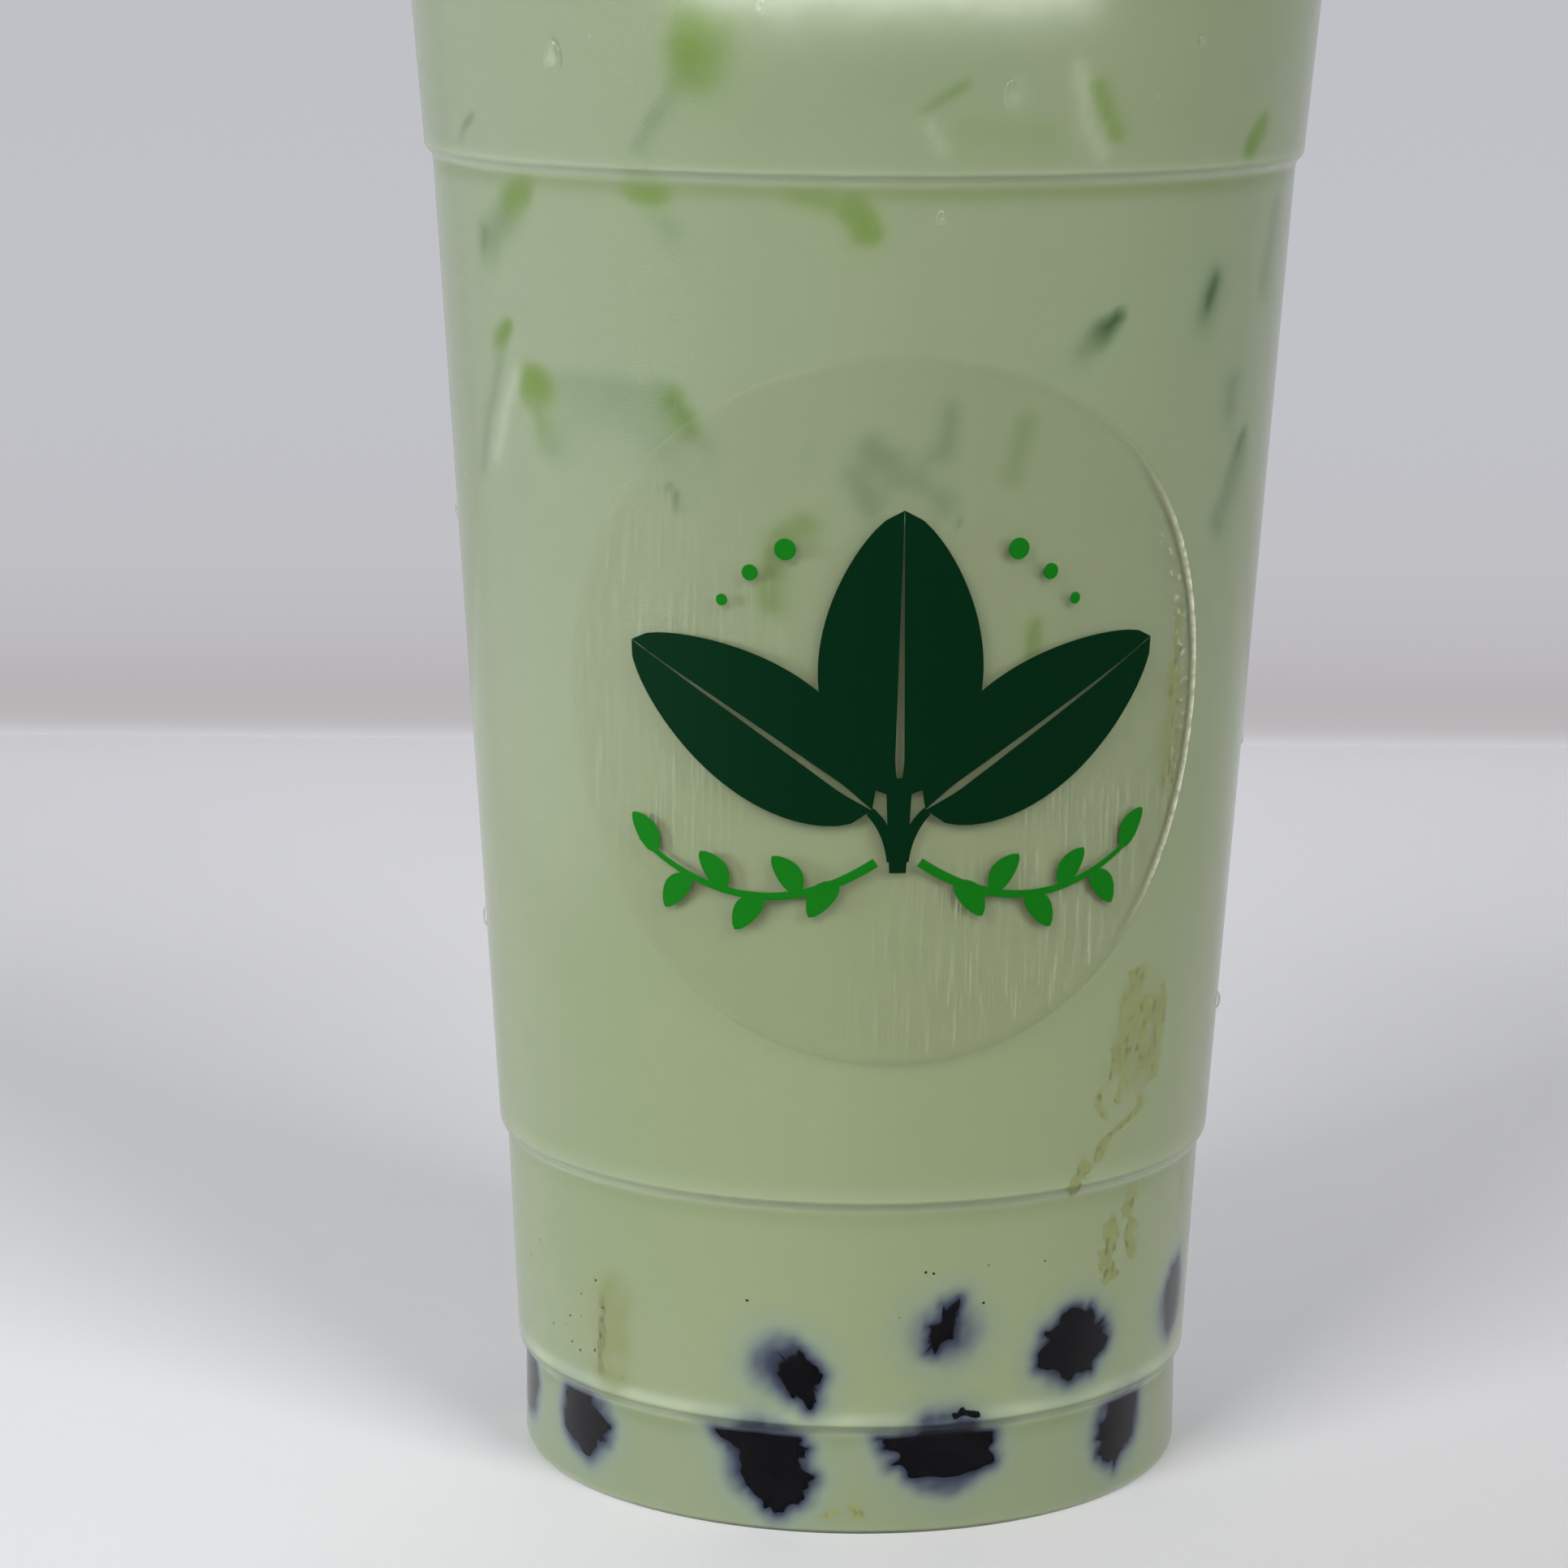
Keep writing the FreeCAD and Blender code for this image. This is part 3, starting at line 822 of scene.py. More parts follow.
# dried residue on the inside of the wall: a line of places and its half width
RESIDUE_MARKS = [
    ([(42.0, 52.2), (41.2, 49.5), (40.0, 46.5), (38.9, 44.6)], 1.7),
    ([(48.4, 49.6), (47.9, 46.0), (47.3, 43.0)], 1.5),
    ([(44.2, 49.4), (44.5, 44.5)], 1.6),
    ([(40.6, 42.7), (39.1, 40.8)], 0.45),
    ([(35.4, 42.2), (34.8, 40.8), (36.4, 39.6)], 0.3),
    ([(44.2, 40.7), (45.4, 39.6), (40.8, 38.3), (37.4, 37.2), (36.4, 35.8)], 0.32),
    ([(36.9, 36.8), (35.9, 35.6)], 0.7),
    ([(33.2, 34.8), (31.1, 32.9)], 0.9),
    ([(46.5, 30.8), (44.9, 28.9)], 1.1),
    ([(41.5, 27.6), (40.6, 25.0), (41.4, 23.2)], 1.3),
    ([(46.5, 27.2), (47.6, 24.6)], 1.1),
    ([(65.6, 30.6), (65.2, 28.0)], 0.8),
    ([(45.2, 87.5), (45.2, 83.0)], 0.5),
    ([(44.5, 81.8), (45.3, 76.0), (45.5, 71.1)], 1.0),
    ([(46.8, 69.5), (46.0, 66.8)], 0.45),
    ([(-51.2, 20.3), (-51.9, 16.5), (-52.4, 13.2)], 0.45),
    ([(-9.3, 1.9), (-8.7, 2.3)], 0.6),
    ([(-4.9, 2.6), (-4.2, 2.1)], 0.6),
]
# thin smears in the drink's own colour round the residue: a line of places, a half width
SMEARS = [
    ([(-48.5, 20.8), (-50.0, 13.2)], 2.4),
    ([(43.6, 49.5), (42.5, 45.0)], 3.2),
    ([(44.9, 80.0), (45.4, 72.0)], 1.6),
]


def back_marks(seed):
    """More marks of ice, round the side away from the label."""
    chance = random.Random(seed)
    marks = []
    for _ in range(46):
        degrees, height = chance.uniform(92, 264), chance.uniform(86, 144)
        end = (degrees + chance.uniform(-5, 5), height - chance.uniform(0.5, 5.0))
        green, grey = chance.choice(((0.9, 0.1), (0.6, 0.4), (0.0, 0.7), (0.0, 0.35)))
        width = chance.uniform(0.6, 1.4) if grey < 0.5 else chance.uniform(0.5, 2.2)
        trail = (chance.uniform(-0.8, 0.8), chance.uniform(-0.8, 0.8))
        marks.append(([(degrees, height), end], width, green, grey, trail))
    return marks


def mark_values(wall, line, width, trail, degrees, heights, sway):
    """1 on a mark's line, fading over its width, and slower the way that it trails."""
    gap, across, up = stroke_offset(wall, line, degrees, heights)
    lean = (across * trail[0] + up * trail[1]) / np.maximum(gap, 1e-6)
    eased = np.maximum(gap + sway * min(1.0, width), 0) / (1 + 1.2 * np.maximum(lean, 0))
    return np.exp(-(eased / width) ** 1.6)


def ice_marks(wall, points, seed):
    """Shares of clear green, shade and painted light at each point of the drink."""
    degrees = degrees_round(points)
    heights = points[:, 2] / MM
    sway = 0.55 * wander(points, 3.2 * MM, 5.0) + 0.3 * wander(points, 1.3 * MM, 9.0)
    furthest = 60.0         # degrees round the cup that any mark may reach
    green, grey, pale = (np.zeros(len(points)) for _ in range(3))

    def nearby(line, width):
        """The points that a mark may reach, and their angles beside it."""
        middle = np.mean([place[0] for place in line])
        turned = (degrees - middle + 180) % 360 - 180 + middle
        tops = [place[1] for place in line]
        reach = 5 * width + 1
        near = (heights > min(tops) - reach) & (heights < max(tops) + reach)
        near &= np.abs(turned - middle) < furthest
        return near, turned[near]

    for line, width, clear, shade, trail in ICE_MARKS + back_marks(seed):
        near, turned = nearby(line, width)
        value = mark_values(wall, line, width, trail, turned, heights[near], sway[near])
        green[near] = np.maximum(green[near], clear * value)
        grey[near] = 1 - (1 - grey[near]) * (1 - shade * value)
    # painted light along the lit edges of ice blocks
    for line, width, share in PAINTED_LIGHT_MARKS:
        near, turned = nearby(line, width)
        value = mark_values(wall, line, width, (0, 0), turned, heights[near], sway[near])
        pale[near] = np.maximum(pale[near], share * value)
    return green, grey, pale


def ledge_tones(cup, points):
    """Painted shade just under each ledge, and a painted highlight just over it and across its
    step, by height.
    """
    heights = points[:, 2] / MM
    shade, glow = np.zeros(len(points)), np.zeros(len(points))
    for (_, low, step), (dark, light) in zip(ledges(cup), LEDGE_TONES):
        low, top = low / MM, (low + step) / MM
        shade = np.maximum(shade, dark * np.exp(-((heights - low + 0.4) / 0.95) ** 2))
        glow = np.maximum(glow, light * np.exp(-((heights - top - 0.8) / 0.7) ** 2))
        # a painted highlight across each ledge's step, against its dark line
        half = (top - low) / 2
        under = np.exp(-((heights - low - half - 0.15) / (half + 0.3)) ** 2)
        glow = np.maximum(glow, 0.34 * under)
    return shade, glow


def stroke_field(wall, marks, degrees, heights, soft):
    """1 well inside any mark, 0 beyond it, in a slope `soft` millimetres wide."""
    field = np.zeros(len(degrees))
    for line, half in marks:
        gap = stroke_offset(wall, line, degrees, heights)[0]
        field = np.maximum(field, 1 - smoothstep(half - soft, half + soft, gap))
    return field


# ---------------------------------------------------------------- pearls

# pearls pressed to the wall: angle, height, half width and half height of the patch that
# touches it, tilt, radius of the ball, how far the ball's centre is from the patch's, ragged
PEARLS = [
    (-13.9, 15.6, 1.5, 2.6, 28, 4.6, (-1.6, 1.3), 0.42),
    (9.4, 20.5, 0.9, 2.2, -32, 4.9, (0.3, -0.2), 0.5),
    (34.2, 17.0, 4.0, 3.1, 8, 4.3, (0.0, 0.0), 0.24),
    (65.0, 17.6, 2.0, 3.6, -10, 4.2, (0.0, 0.0), 0.22),
    (-59.5, 7.2, 3.7, 2.9, -30, 4.3, (0.3, -0.2), 0.28),
    (-84.5, 7.2, 3.4, 3.4, 0, 4.3, (0.0, 0.0), 0.18),
    (-18.6, 6.0, 2.8, 4.0, 24, 4.4, (-0.6, 0.5), 0.28),
    (-20.8, 9.0, 4.2, 1.7, -4, 3.6, (0.0, -0.6), 0.16),
    (10.3, 8.6, 5.3, 3.1, 0, 4.4, (0.0, -0.3), 0.20),
    (48.4, 7.2, 2.7, 3.8, -15, 4.2, (0.0, 0.0), 0.24),
]
PATCH_RINGS = 9
BALL_RINGS = 15
PEARL_SPOKES = 84
LEDGE_CLEAR = 0.45          # millimetres that a foot pearl's patch stays under the ledge


def back_pearls(seed):
    """Pearls against the wall round the side away from the label."""
    chance = random.Random(seed + 1)
    made = []
    for degrees in range(92, 268, 22):
        made.append((degrees + chance.uniform(-4, 4), chance.uniform(6.0, 7.2),
                     chance.uniform(3.2, 5.2), chance.uniform(2.4, 3.4),
                     chance.uniform(-30, 30), chance.uniform(4.6, 5.2), (0.0, -0.2),
                     chance.uniform(0.16, 0.26)))
    for degrees in (100, 131, 158, 204, 239, 262):
        made.append((degrees + chance.uniform(-6, 6), chance.uniform(15.6, 21.0),
                     chance.uniform(1.4, 4.4), chance.uniform(1.8, 3.8),
                     chance.uniform(-40, 40), chance.uniform(4.6, 5.1),
                     (chance.uniform(-0.8, 0.8), chance.uniform(-0.6, 0.6)),
                     chance.uniform(0.18, 0.32)))
    return made


def ragged_outline(spokes, amount, chance):
    """A factor round an outline: broad lobes, finer ones and a few short spikes."""
    turned = np.arange(spokes) * 2 * math.pi / spokes
    factor = np.ones(spokes)
    for waves in (2, 3, 4, 5, 7, 9, 12, 16, 21):
        size = amount * chance.uniform(0.35, 0.8) / waves ** 0.62
        factor += size * np.sin(waves * turned + chance.uniform(0, 2 * math.pi))
    for _ in range(5):
        middle = chance.uniform(0, 2 * math.pi)
        off = np.abs((turned - middle + math.pi) % (2 * math.pi) - math.pi)
        factor += amount * chance.uniform(0.4, 1.3) * np.exp(-(off / 0.06) ** 2)
    return turned, factor


def wall_pearl(wall, foot_ledge, pearl, chance):
    """Points and faces of one pearl: a ragged patch on the wall and the ball behind it."""
    degrees, height, half_width, half_height, tilt, radius, shift, ragged = pearl
    turned, factor = ragged_outline(PEARL_SPOKES, ragged, chance)
    lean = math.radians(tilt)
    across, up = half_width * np.cos(turned) * factor, half_height * np.sin(turned) * factor
    outline = np.stack([across * math.cos(lean) - up * math.sin(lean),
                        across * math.sin(lean) + up * math.cos(lean)], axis=1)
    below = height * MM < foot_ledge
    highest = foot_ledge / MM - LEDGE_CLEAR if below else 200.0
    lowest = 1.5 if below else foot_ledge / MM + 1.4
    at_wall = wall.radius(height * MM) / MM
    rows = []
    for ring in range(PATCH_RINGS + 1):
        share = (ring / PATCH_RINGS) ** 0.8
        spots = outline * share
        heights = np.clip(height + spots[:, 1], lowest, highest)
        angles = degrees + np.degrees(spots[:, 0] / at_wall)
        if ring == 0:
            rows.append(wall.place(angles[:1], heights[:1] * MM))
        else:
            rows.append(wall.place(angles, heights * MM))
    patch = np.hypot(outline[:, 0], outline[:, 1])
    deep = radius * math.cos(math.asin(min(0.93, patch.mean() / radius))) + 0.5
    centre = wall.place(degrees + math.degrees(shift[0] / at_wall),
                        (height + shift[1]) * MM, -deep * MM)
    facing = math.radians(degrees)
    out = np.array((math.sin(facing), -math.cos(facing), 0.0))
    side = np.array((math.cos(facing), math.sin(facing), 0.0))
    spin = np.arctan2(outline[:, 1], outline[:, 0])
    around = np.cos(spin)[:, None] * side + np.sin(spin)[:, None] * np.array((0, 0, 1.0))
    first = np.arcsin(np.clip(patch / radius, 0, 0.93)) + 0.06
    for ring in range(BALL_RINGS):
        share = ring / BALL_RINGS
        swing = first + (math.pi - first) * share
        sphere = np.sin(swing)[:, None] * around + np.cos(swing)[:, None] * out
        lumps = 1 + 0.05 * wander(sphere, 0.7, degrees)
        spots = centre + sphere * (radius * MM) * lumps[:, None]
        rows.append(hold_inside(wall, spots, 0.35 * MM))
    rows.append((centre - out * radius * MM)[None])
    points = np.concatenate(rows)
    points[:, 2] = np.maximum(points[:, 2], 1.3 * MM)
    return points, capped_rows(len(rows), PEARL_SPOKES)


def capped_rows(rows, columns):
    """Faces of closed rings between one first point and one last point."""
    faces = [[0, 1 + (index + 1) % columns, 1 + index] for index in range(columns)]
    faces += grid_faces(1, rows - 2, columns, True)
    last = 1 + (rows - 2) * columns
    ring = last - columns
    faces += [[ring + index, ring + (index + 1) % columns, last] for index in range(columns)]
    return [face[::-1] for face in faces]


def hold_inside(wall, points, clearance):
    """Points no nearer to the wall than a clearance."""
    reach = np.hypot(points[:, 0], points[:, 1])
    limit = wall.radius(points[:, 2]) - clearance
    share = np.minimum(1, limit / np.maximum(reach, 1e-9))
    held = points.copy()
    held[:, 0] *= share
    held[:, 1] *= share
    return held


def taken(shape):
    """Points and faces of a bmesh, which is freed."""
    points = np.array([vertex.co[:] for vertex in shape.verts])
    faces = [[vertex.index for vertex in face.verts] for face in shape.faces]
    shape.free()
    return points, faces


def ball(level, centre, radius, lumps, offset):
    """Points and faces of a lumpy ball."""
    shape = bmesh.new()
    bmesh.ops.create_icosphere(shape, subdivisions=level, radius=1.0)
    points, faces = taken(shape)
    size = 1 + lumps * wander(points, 0.8, offset)
    return points * size[:, None] * radius + np.array(centre), faces


def joined(parts):
    """Several (points, faces) as one."""
    points, faces, first = [], [], 0
    for part_points, part_faces in parts:
        points.append(part_points)
        faces += [[first + index for index in face] for face in part_faces]
        first += len(part_points)
    return np.concatenate(points), faces


HEAP = 16                   # pearls away from the wall
HEAP_FIRST = 9              # of them in the lower layer
HEAP_REACH = 17.5           # millimetres from the axis
HEAP_LAYERS = (8.6, 16.5)   # heights of the two layers in millimetres
PEARL_APART = 9.0           # least distance between two centres


def floor_pearls(seed):
    """Centres and radii of the pearls that lie on the floor away from the wall."""
    chance = random.Random(seed + 2)
    made = []
    tries = 0
    while len(made) < HEAP and tries < 4000:
        tries += 1
        reach = HEAP_REACH * math.sqrt(chance.random())
        turned = chance.uniform(0, 2 * math.pi)
        high = HEAP_LAYERS[0] if len(made) < HEAP_FIRST else HEAP_LAYERS[1]
        spot = np.array((reach * math.cos(turned), reach * math.sin(turned), high))
        if all(np.linalg.norm(spot - other[0]) > PEARL_APART for other in made):
            made.append((spot, chance.uniform(4.1, 4.7)))
    return made


# crumbs that run together in a short dark dash on the foot's ledge, and single ones
DASH = [(11.9, 11.7), (12.6, 11.85), (13.4, 11.95), (14.2, 11.85), (15.0, 11.7),
        (13.0, 12.2), (15.7, 11.6)]
SINGLE_CRUMBS = [(-22.8, 22.9), (27.1, 26.0), (6.2, 26.1), (-74.7, 21.3), (-53.7, 14.8),
                 (-65.9, 12.6)]


def crumbs(wall, seed):
    """Small dark bits of tapioca, most of them by the ledge above the foot."""
    chance = random.Random(seed + 3)
    spots = DASH + SINGLE_CRUMBS
    for _ in range(12):
        spots.append((chance.uniform(-78, -47), chance.uniform(12.4, 24)))
    for _ in range(5):
        spots.append((chance.uniform(2, 17), chance.uniform(21, 26.5)))
    for _ in range(44):
        spots.append((chance.uniform(60, 275), chance.uniform(2.5, 27)))
    parts = []
    for number, (degrees, height) in enumerate(spots):
        span = (0.2, 0.42) if number < len(DASH) else (0.05, 0.13)
        size = chance.uniform(*span)
        centre = wall.place(degrees, height * MM, -0.35 * size * MM)
        parts.append(ball(2, centre, size * MM, 0.5, number * 3.7))
    return parts


# ---------------------------------------------------------------- ice

def ice_block(size, turned, centre, number):
    """A melted block: rounded corners, one hollowed face and soft lumps."""
    shape = bmesh.new()
    bmesh.ops.create_cube(shape, size=2.0)
    bmesh.ops.subdivide_edges(shape, edges=shape.edges[:], cuts=11, use_grid_fill=True)
    points, faces = taken(shape)
    squareness = 5.0
    reach = np.sum(np.abs(points) ** squareness, axis=1) ** (1 / squareness)
    points = points / reach[:, None]
    hollow = np.exp(-(points[:, 0] ** 2 + points[:, 1] ** 2) / 0.35)
    points[:, 2] -= 0.28 * hollow * (points[:, 2] > 0.3)
    points *= (1 + 0.06 * wander(points, 0.9, number * 5.1))[:, None]
    points = points * np.array(size) / 2 * MM
    rotation = np.array(Euler(turned).to_matrix())
    return points @ rotation.T + np.array(centre) * MM, faces


# blocks behind the marks on the wall: angle, height, distance of the centre from the axis
ICE_BLOCKS = [
    (-30.0, 136.0, 29.5), (8.0, 138.5, 29.0), (38.0, 131.0, 29.0), (-62.0, 129.0, 28.5),
    (66.0, 113.0, 27.5), (-8.0, 116.0, 28.0), (30.0, 106.0, 26.5), (-45.0, 105.0, 27.5),
    (0.0, 95.0, 25.5), (-75.0, 103.0, 27.0), (55.0, 92.0, 25.0),
]


ICE_COUNT = 27
ICE_APART = 18.5            # least distance between two centres in millimetres


def ice_blocks(wall, level, seed):
    """All the blocks: those behind the marks, and others that fill the rest."""
    chance = random.Random(seed + 4)
    centres = []
    for degrees, height, reach in ICE_BLOCKS:
        turned = math.radians(degrees)
        centres.append((reach * math.sin(turned), -reach * math.cos(turned), height))
    tries = 0
    while len(centres) < ICE_COUNT and tries < 6000:
        tries += 1
        height = chance.uniform(92, 140)
        reach = (wall.radius(height * MM) / MM - 12.5) * math.sqrt(chance.random())
        turned = chance.uniform(0, 2 * math.pi)
        spot = (reach * math.sin(turned), -reach * math.cos(turned), height)
        if all(math.dist(spot, other) > ICE_APART for other in centres):
            centres.append(spot)
    parts = []
    for number, centre in enumerate(centres):
        size = [chance.uniform(19.5, 24.0) for _ in range(3)]
        turned = [chance.uniform(-0.7, 0.7) for _ in range(3)]
        points, faces = ice_block(size, turned, centre, number)
        highest = level + chance.uniform(0.6, 2.2) * MM
        points[:, 2] = np.minimum(points[:, 2], highest + 0.25 * (points[:, 2] - highest))
        parts.append((hold_inside(wall, points, 0.45 * MM), faces))
    return parts


# ---------------------------------------------------------------- the label

class LabelPlace:
    """Lays flat label coordinates, in millimetres from its centre, on the tapered wall."""

    def __init__(self, cup, label):
        low, top = wall_corners(cup, 0)[3], wall_corners(cup, 0)[4]
        rise, spread = top[1] - low[1], top[0] - low[0]
        self.slope = math.atan2(spread, rise)
        self.apex = low[1] - low[0] * rise / spread
        centre = (low[1] + top[1]) / 2 - label.drop
        self.length = (centre - self.apex) / math.cos(self.slope)

    def at(self, across, along, lift):
        """Points for flat coordinates, `lift` metres outside the wall."""
        across, along = np.asarray(across) * MM, np.asarray(along) * MM + self.length
        turned = np.arctan2(across, along) / math.sin(self.slope)
        reach = np.hypot(across, along)
        radius = reach * math.sin(self.slope) + lift * math.cos(self.slope)
        height = self.apex + reach * math.cos(self.slope) - lift * math.sin(self.slope)
        return np.stack([radius * np.sin(turned), -radius * np.cos(turned), height], -1)


def polar(flat, radius):
    """Flat label coordinates as a share of the label's radius and an angle in degrees."""
    reach = np.hypot(flat[:, 0], flat[:, 1]) / radius
    return reach, np.degrees(np.arctan2(flat[:, 1], flat[:, 0]))


FILM_SPOKES = 160
FILM_RINGS = [0.1, 0.22, 0.34, 0.46, 0.58, 0.68, 0.77, 0.84, 0.89, 0.925, 0.95, 0.968,
              0.98, 0.988, 0.994, 1.0]


def leaf_shape(base, tip, width, bend, split=0.0, rows=30, columns=5):
    """Two halves of a leaf as flat points in rows, along a bent midrib left open."""
    base, tip = np.array(base, float), np.array(tip, float)
    run = tip - base
    normal = np.array((-run[1], run[0])) / np.linalg.norm(run)
    parts = []
    for side in (-1, 1):
        points = []
        for row in range(rows):
            share = row / (rows - 1)
            middle = base + run * share + normal * bend * math.sin(math.pi * share)
            half = 0
            if 0 < row < rows - 1:
                half = width / 2 * math.sin(math.pi * share ** 0.85) ** 0.62
            inner = min(split * (1.05 - share) * min(1, 8 * share), half)
            for column in range(columns):
                reach = inner + (half - inner) * column / (columns - 1)
                points.append(middle + normal * side * reach)
        faces = grid_faces(0, rows, columns, False)
        parts.append((np.array(points), faces if side > 0 else [face[::-1] for face in faces]))
    return joined(parts)


def ribbon_shape(line, start_width, end_width, rows=40):
    """A stem as flat points: a ribbon that tapers along a quadratic curve."""
    first, middle, last = (np.array(point, float) for point in line)
    points = []
    for row in range(rows):
        share = row / (rows - 1)
        spot = (1 - share) ** 2 * first + 2 * share * (1 - share) * middle + share ** 2 * last
        run = 2 * (1 - share) * (middle - first) + 2 * share * (last - middle)
        normal = np.array((-run[1], run[0])) / np.linalg.norm(run)
        half = (start_width + (end_width - start_width) * share) / 2
        for side in (-1, 0, 1):
            points.append(spot + normal * half * side)
    return np.array(points), grid_faces(0, rows, 3, False)


def dot_shape(centre, radius, spokes=24):
    """A round dot as flat points."""
    turned = np.arange(spokes) * 2 * math.pi / spokes
    rim = np.stack([np.cos(turned), np.sin(turned)], 1)
    points = np.concatenate([[centre], centre + rim * radius * 0.5, centre + rim * radius])
    faces = [[0, 1 + index, 1 + (index + 1) % spokes] for index in range(spokes)]
    return points, faces + [face[::-1] for face in grid_faces(1, 2, spokes, True)]


def print_shapes():
    """The print: three broad dark leaves over a garland of small bright ones."""
    dark = [leaf_shape((0, -7.5), (0, 19), 15.0, 0.0, 0.45),
            ribbon_shape([(0, -14.5), (0, -11), (0, -5.6)], 1.5, 2.4)]
    bright = []
    curve = np.array(((2.0, -13.5), (13.0, -21.0), (24.5, -13.0)))
    for side in (-1, 1):
        mirrored = curve * (side, 1)
        dark.append(leaf_shape((side * 2.4, -8.6), (side * 25.5, 5.5), 12.5, side * 0.6, 0.4))
        dark.append(ribbon_shape([(side * 0.4, -13.4), (side * 0.8, -10.5),
                                  (side * 2.6, -8.7)], 1.2, 0.9))
        bright.append(ribbon_shape(mirrored, 0.9, 0.5))
        for number in range(6):
            share = (number + 1) / 6.5
            weights = np.array(((1 - share) ** 2, 2 * share * (1 - share), share ** 2))
            spot = weights @ mirrored
            up = 3.4 if number % 2 else -3.4
            bright.append(leaf_shape(spot, spot + (side * 2.6, up), 2.3, side * 0.3, 0, 14))
        bright.append(dot_shape(np.array((side * 10.6, 15.2)), 1.0))
        bright.append(dot_shape(np.array((side * 13.8, 12.9)), 0.75))
        bright.append(dot_shape(np.array((side * 16.4, 10.2)), 0.55))
    return dark, bright


# ---------------------------------------------------------------- drops and bubbles

# drops on the outside: angle, height, half width, half height, how far they stand out
DROPS = [
    (-46.5, 137.8, 1.2, 1.7, 0.55), (-18.0, 142.6, 0.55, 0.75, 0.30),
    (11.7, 135.2, 0.75, 1.5, 0.35), (3.8, 124.4, 0.6, 0.75, 0.30),
    (78.0, 45.5, 0.7, 0.9, 0.35), (83.0, 71.0, 0.6, 0.8, 0.30),
    (38.5, 139.5, 0.5, 0.6, 0.25),
]


def drop_shape(wall, drop, chance):
    """Points and faces of one drop: a dome on the wall that is fuller at its foot."""
    degrees, height, half_width, half_height, stands = drop
    spokes, rings = 28, 9
    turned = np.arange(spokes) * 2 * math.pi / spokes
    wave = 1 + 0.07 * np.sin(2 * turned + chance.uniform(0, 6))
    wave += 0.05 * np.sin(3 * turned + chance.uniform(0, 6))
    at_wall = wall.radius(height * MM) / MM
    rows = [wall.place(np.array([degrees]), np.array([height * MM]), stands * MM)]
    for ring in range(1, rings + 1):
        share = ring / rings
        across = half_width * wave * np.cos(turned) * share
        along = half_height * wave * np.sin(turned) * share
        across *= 1 - 0.22 * np.sin(turned) * share
        out = stands * max(0.0, 1 - share ** 2) ** 0.6 - 0.02
        spots = wall.place(degrees + np.degrees(across / at_wall), (height + along) * MM,
                           out * MM)
        rows.append(spots)
    rows.append(wall.place(np.array([degrees]), np.array([height * MM]), -0.02 * MM))
    points = np.concatenate(rows)
    return points, capped_rows(len(rows), spokes)


def drops_list(seed):
    """The placed drops and smaller ones all round."""
    chance = random.Random(seed + 5)
    made = list(DROPS)
    for _ in range(26):
        size = chance.uniform(0.3, 0.9)
        made.append((chance.uniform(82, 276), chance.uniform(40, 150), size,
                     size * chance.uniform(1.0, 1.5), size * 0.45))
    for _ in range(12):
        size = chance.uniform(0.16, 0.3)
        made.append((chance.uniform(-78, 78), chance.uniform(130, 152), size, size * 1.2,
                     size * 0.45))
    return made


# ---------------------------------------------------------------- operators

def settings():
    """The scene's four groups of sizes and colours."""
    scene = bpy.context.scene
    return (scene.honeydew_cup, scene.honeydew_drink, scene.honeydew_label,
            scene.honeydew_stage)


class HONEYDEW_OT_cup(bpy.types.Operator):
    """Turns the clear stepped cup with its rolled rim"""
    bl_idname = "honeydew.cup"
    bl_label = "Clear cup"

    def execute(self, context):
        cup = settings()[0]
        top, rim = cup.overall_height, cup.rim_diameter / 2
        under = top - cup.rim_depth
        mouth = rim - cup.rim_overhang
        roof, lip = top - cup.wall, rim - cup.wall
        crown = cup.rim_round - cup.wall
        edge = 0.12 * MM
        corners = base_corners(cup, 0, 0) + wall_corners(cup, 0)
        corners += [
            (mouth, under, NO_ROUND), (band_radius(cup, roof, 0), roof, crown),
            (lip, roof, crown), (lip, under, edge), (rim, under, edge),
            (rim, top, cup.rim_round), (band_radius(cup, top, cup.wall), top, cup.rim_round),
        ]
        inside = base_corners(cup, cup.wall, cup.floor) + wall_corners(cup, cup.wall)
        corners += inside[::-1]
        profile = resampled(rounded(corners), 5 * MM)
        points, faces = lathe(profile, 256)
        made = add_object("clear_cup", points, faces, plastic_material(cup))
        finish_piece(made, ["cup"])
        return {"FINISHED"}


class HONEYDEW_OT_pearls(bpy.types.Operator):
    """Presses tapioca pearls to the foot of the wall and heaps more on the floor"""
    bl_idname = "honeydew.pearls"
    bl_label = "Tapioca pearls"

    def execute(self, context):
        cup, drink = settings()[:2]
        wall = Wall(cup, cup.wall - drink.reach - 0.04 * MM)
        chance = random.Random(drink.seed)
        parts = [wall_pearl(wall, cup.foot_ledge_height, pearl, chance)
                 for pearl in PEARLS + back_pearls(drink.seed)]
        for number, (spot, radius) in enumerate(floor_pearls(drink.seed)):
            parts.append(ball(3, spot * MM, radius * MM, 0.06, number * 7.3))
        material = pearl_material()
        made = add_object("tapioca_pearls", *joined(parts), material)
        finish_piece(made)
        made = add_object("tapioca_crumbs", *joined(crumbs(wall, drink.seed)), material)
        finish_piece(made)
        return {"FINISHED"}


CURL_RUNS = (0.25, 0.6, 1.1, 1.8, 2.8, 4.2)     # millimetres in from the wall
CURL_FALL = 0.9             # millimetres over which the climb at the wall falls away
SURFACE_RINGS = 17
PEARLS_BELOW = 32.0         # no pearl lies higher, in millimetres
# painted shade over the foot fades out between these heights
FOOT_SHADE_FADE = (9.0, 11.3)     # heights in millimetres between which the foot's tone ends
COLD_FADE = (45.0, 110.0)   # and between which the drink turns to its cold tone


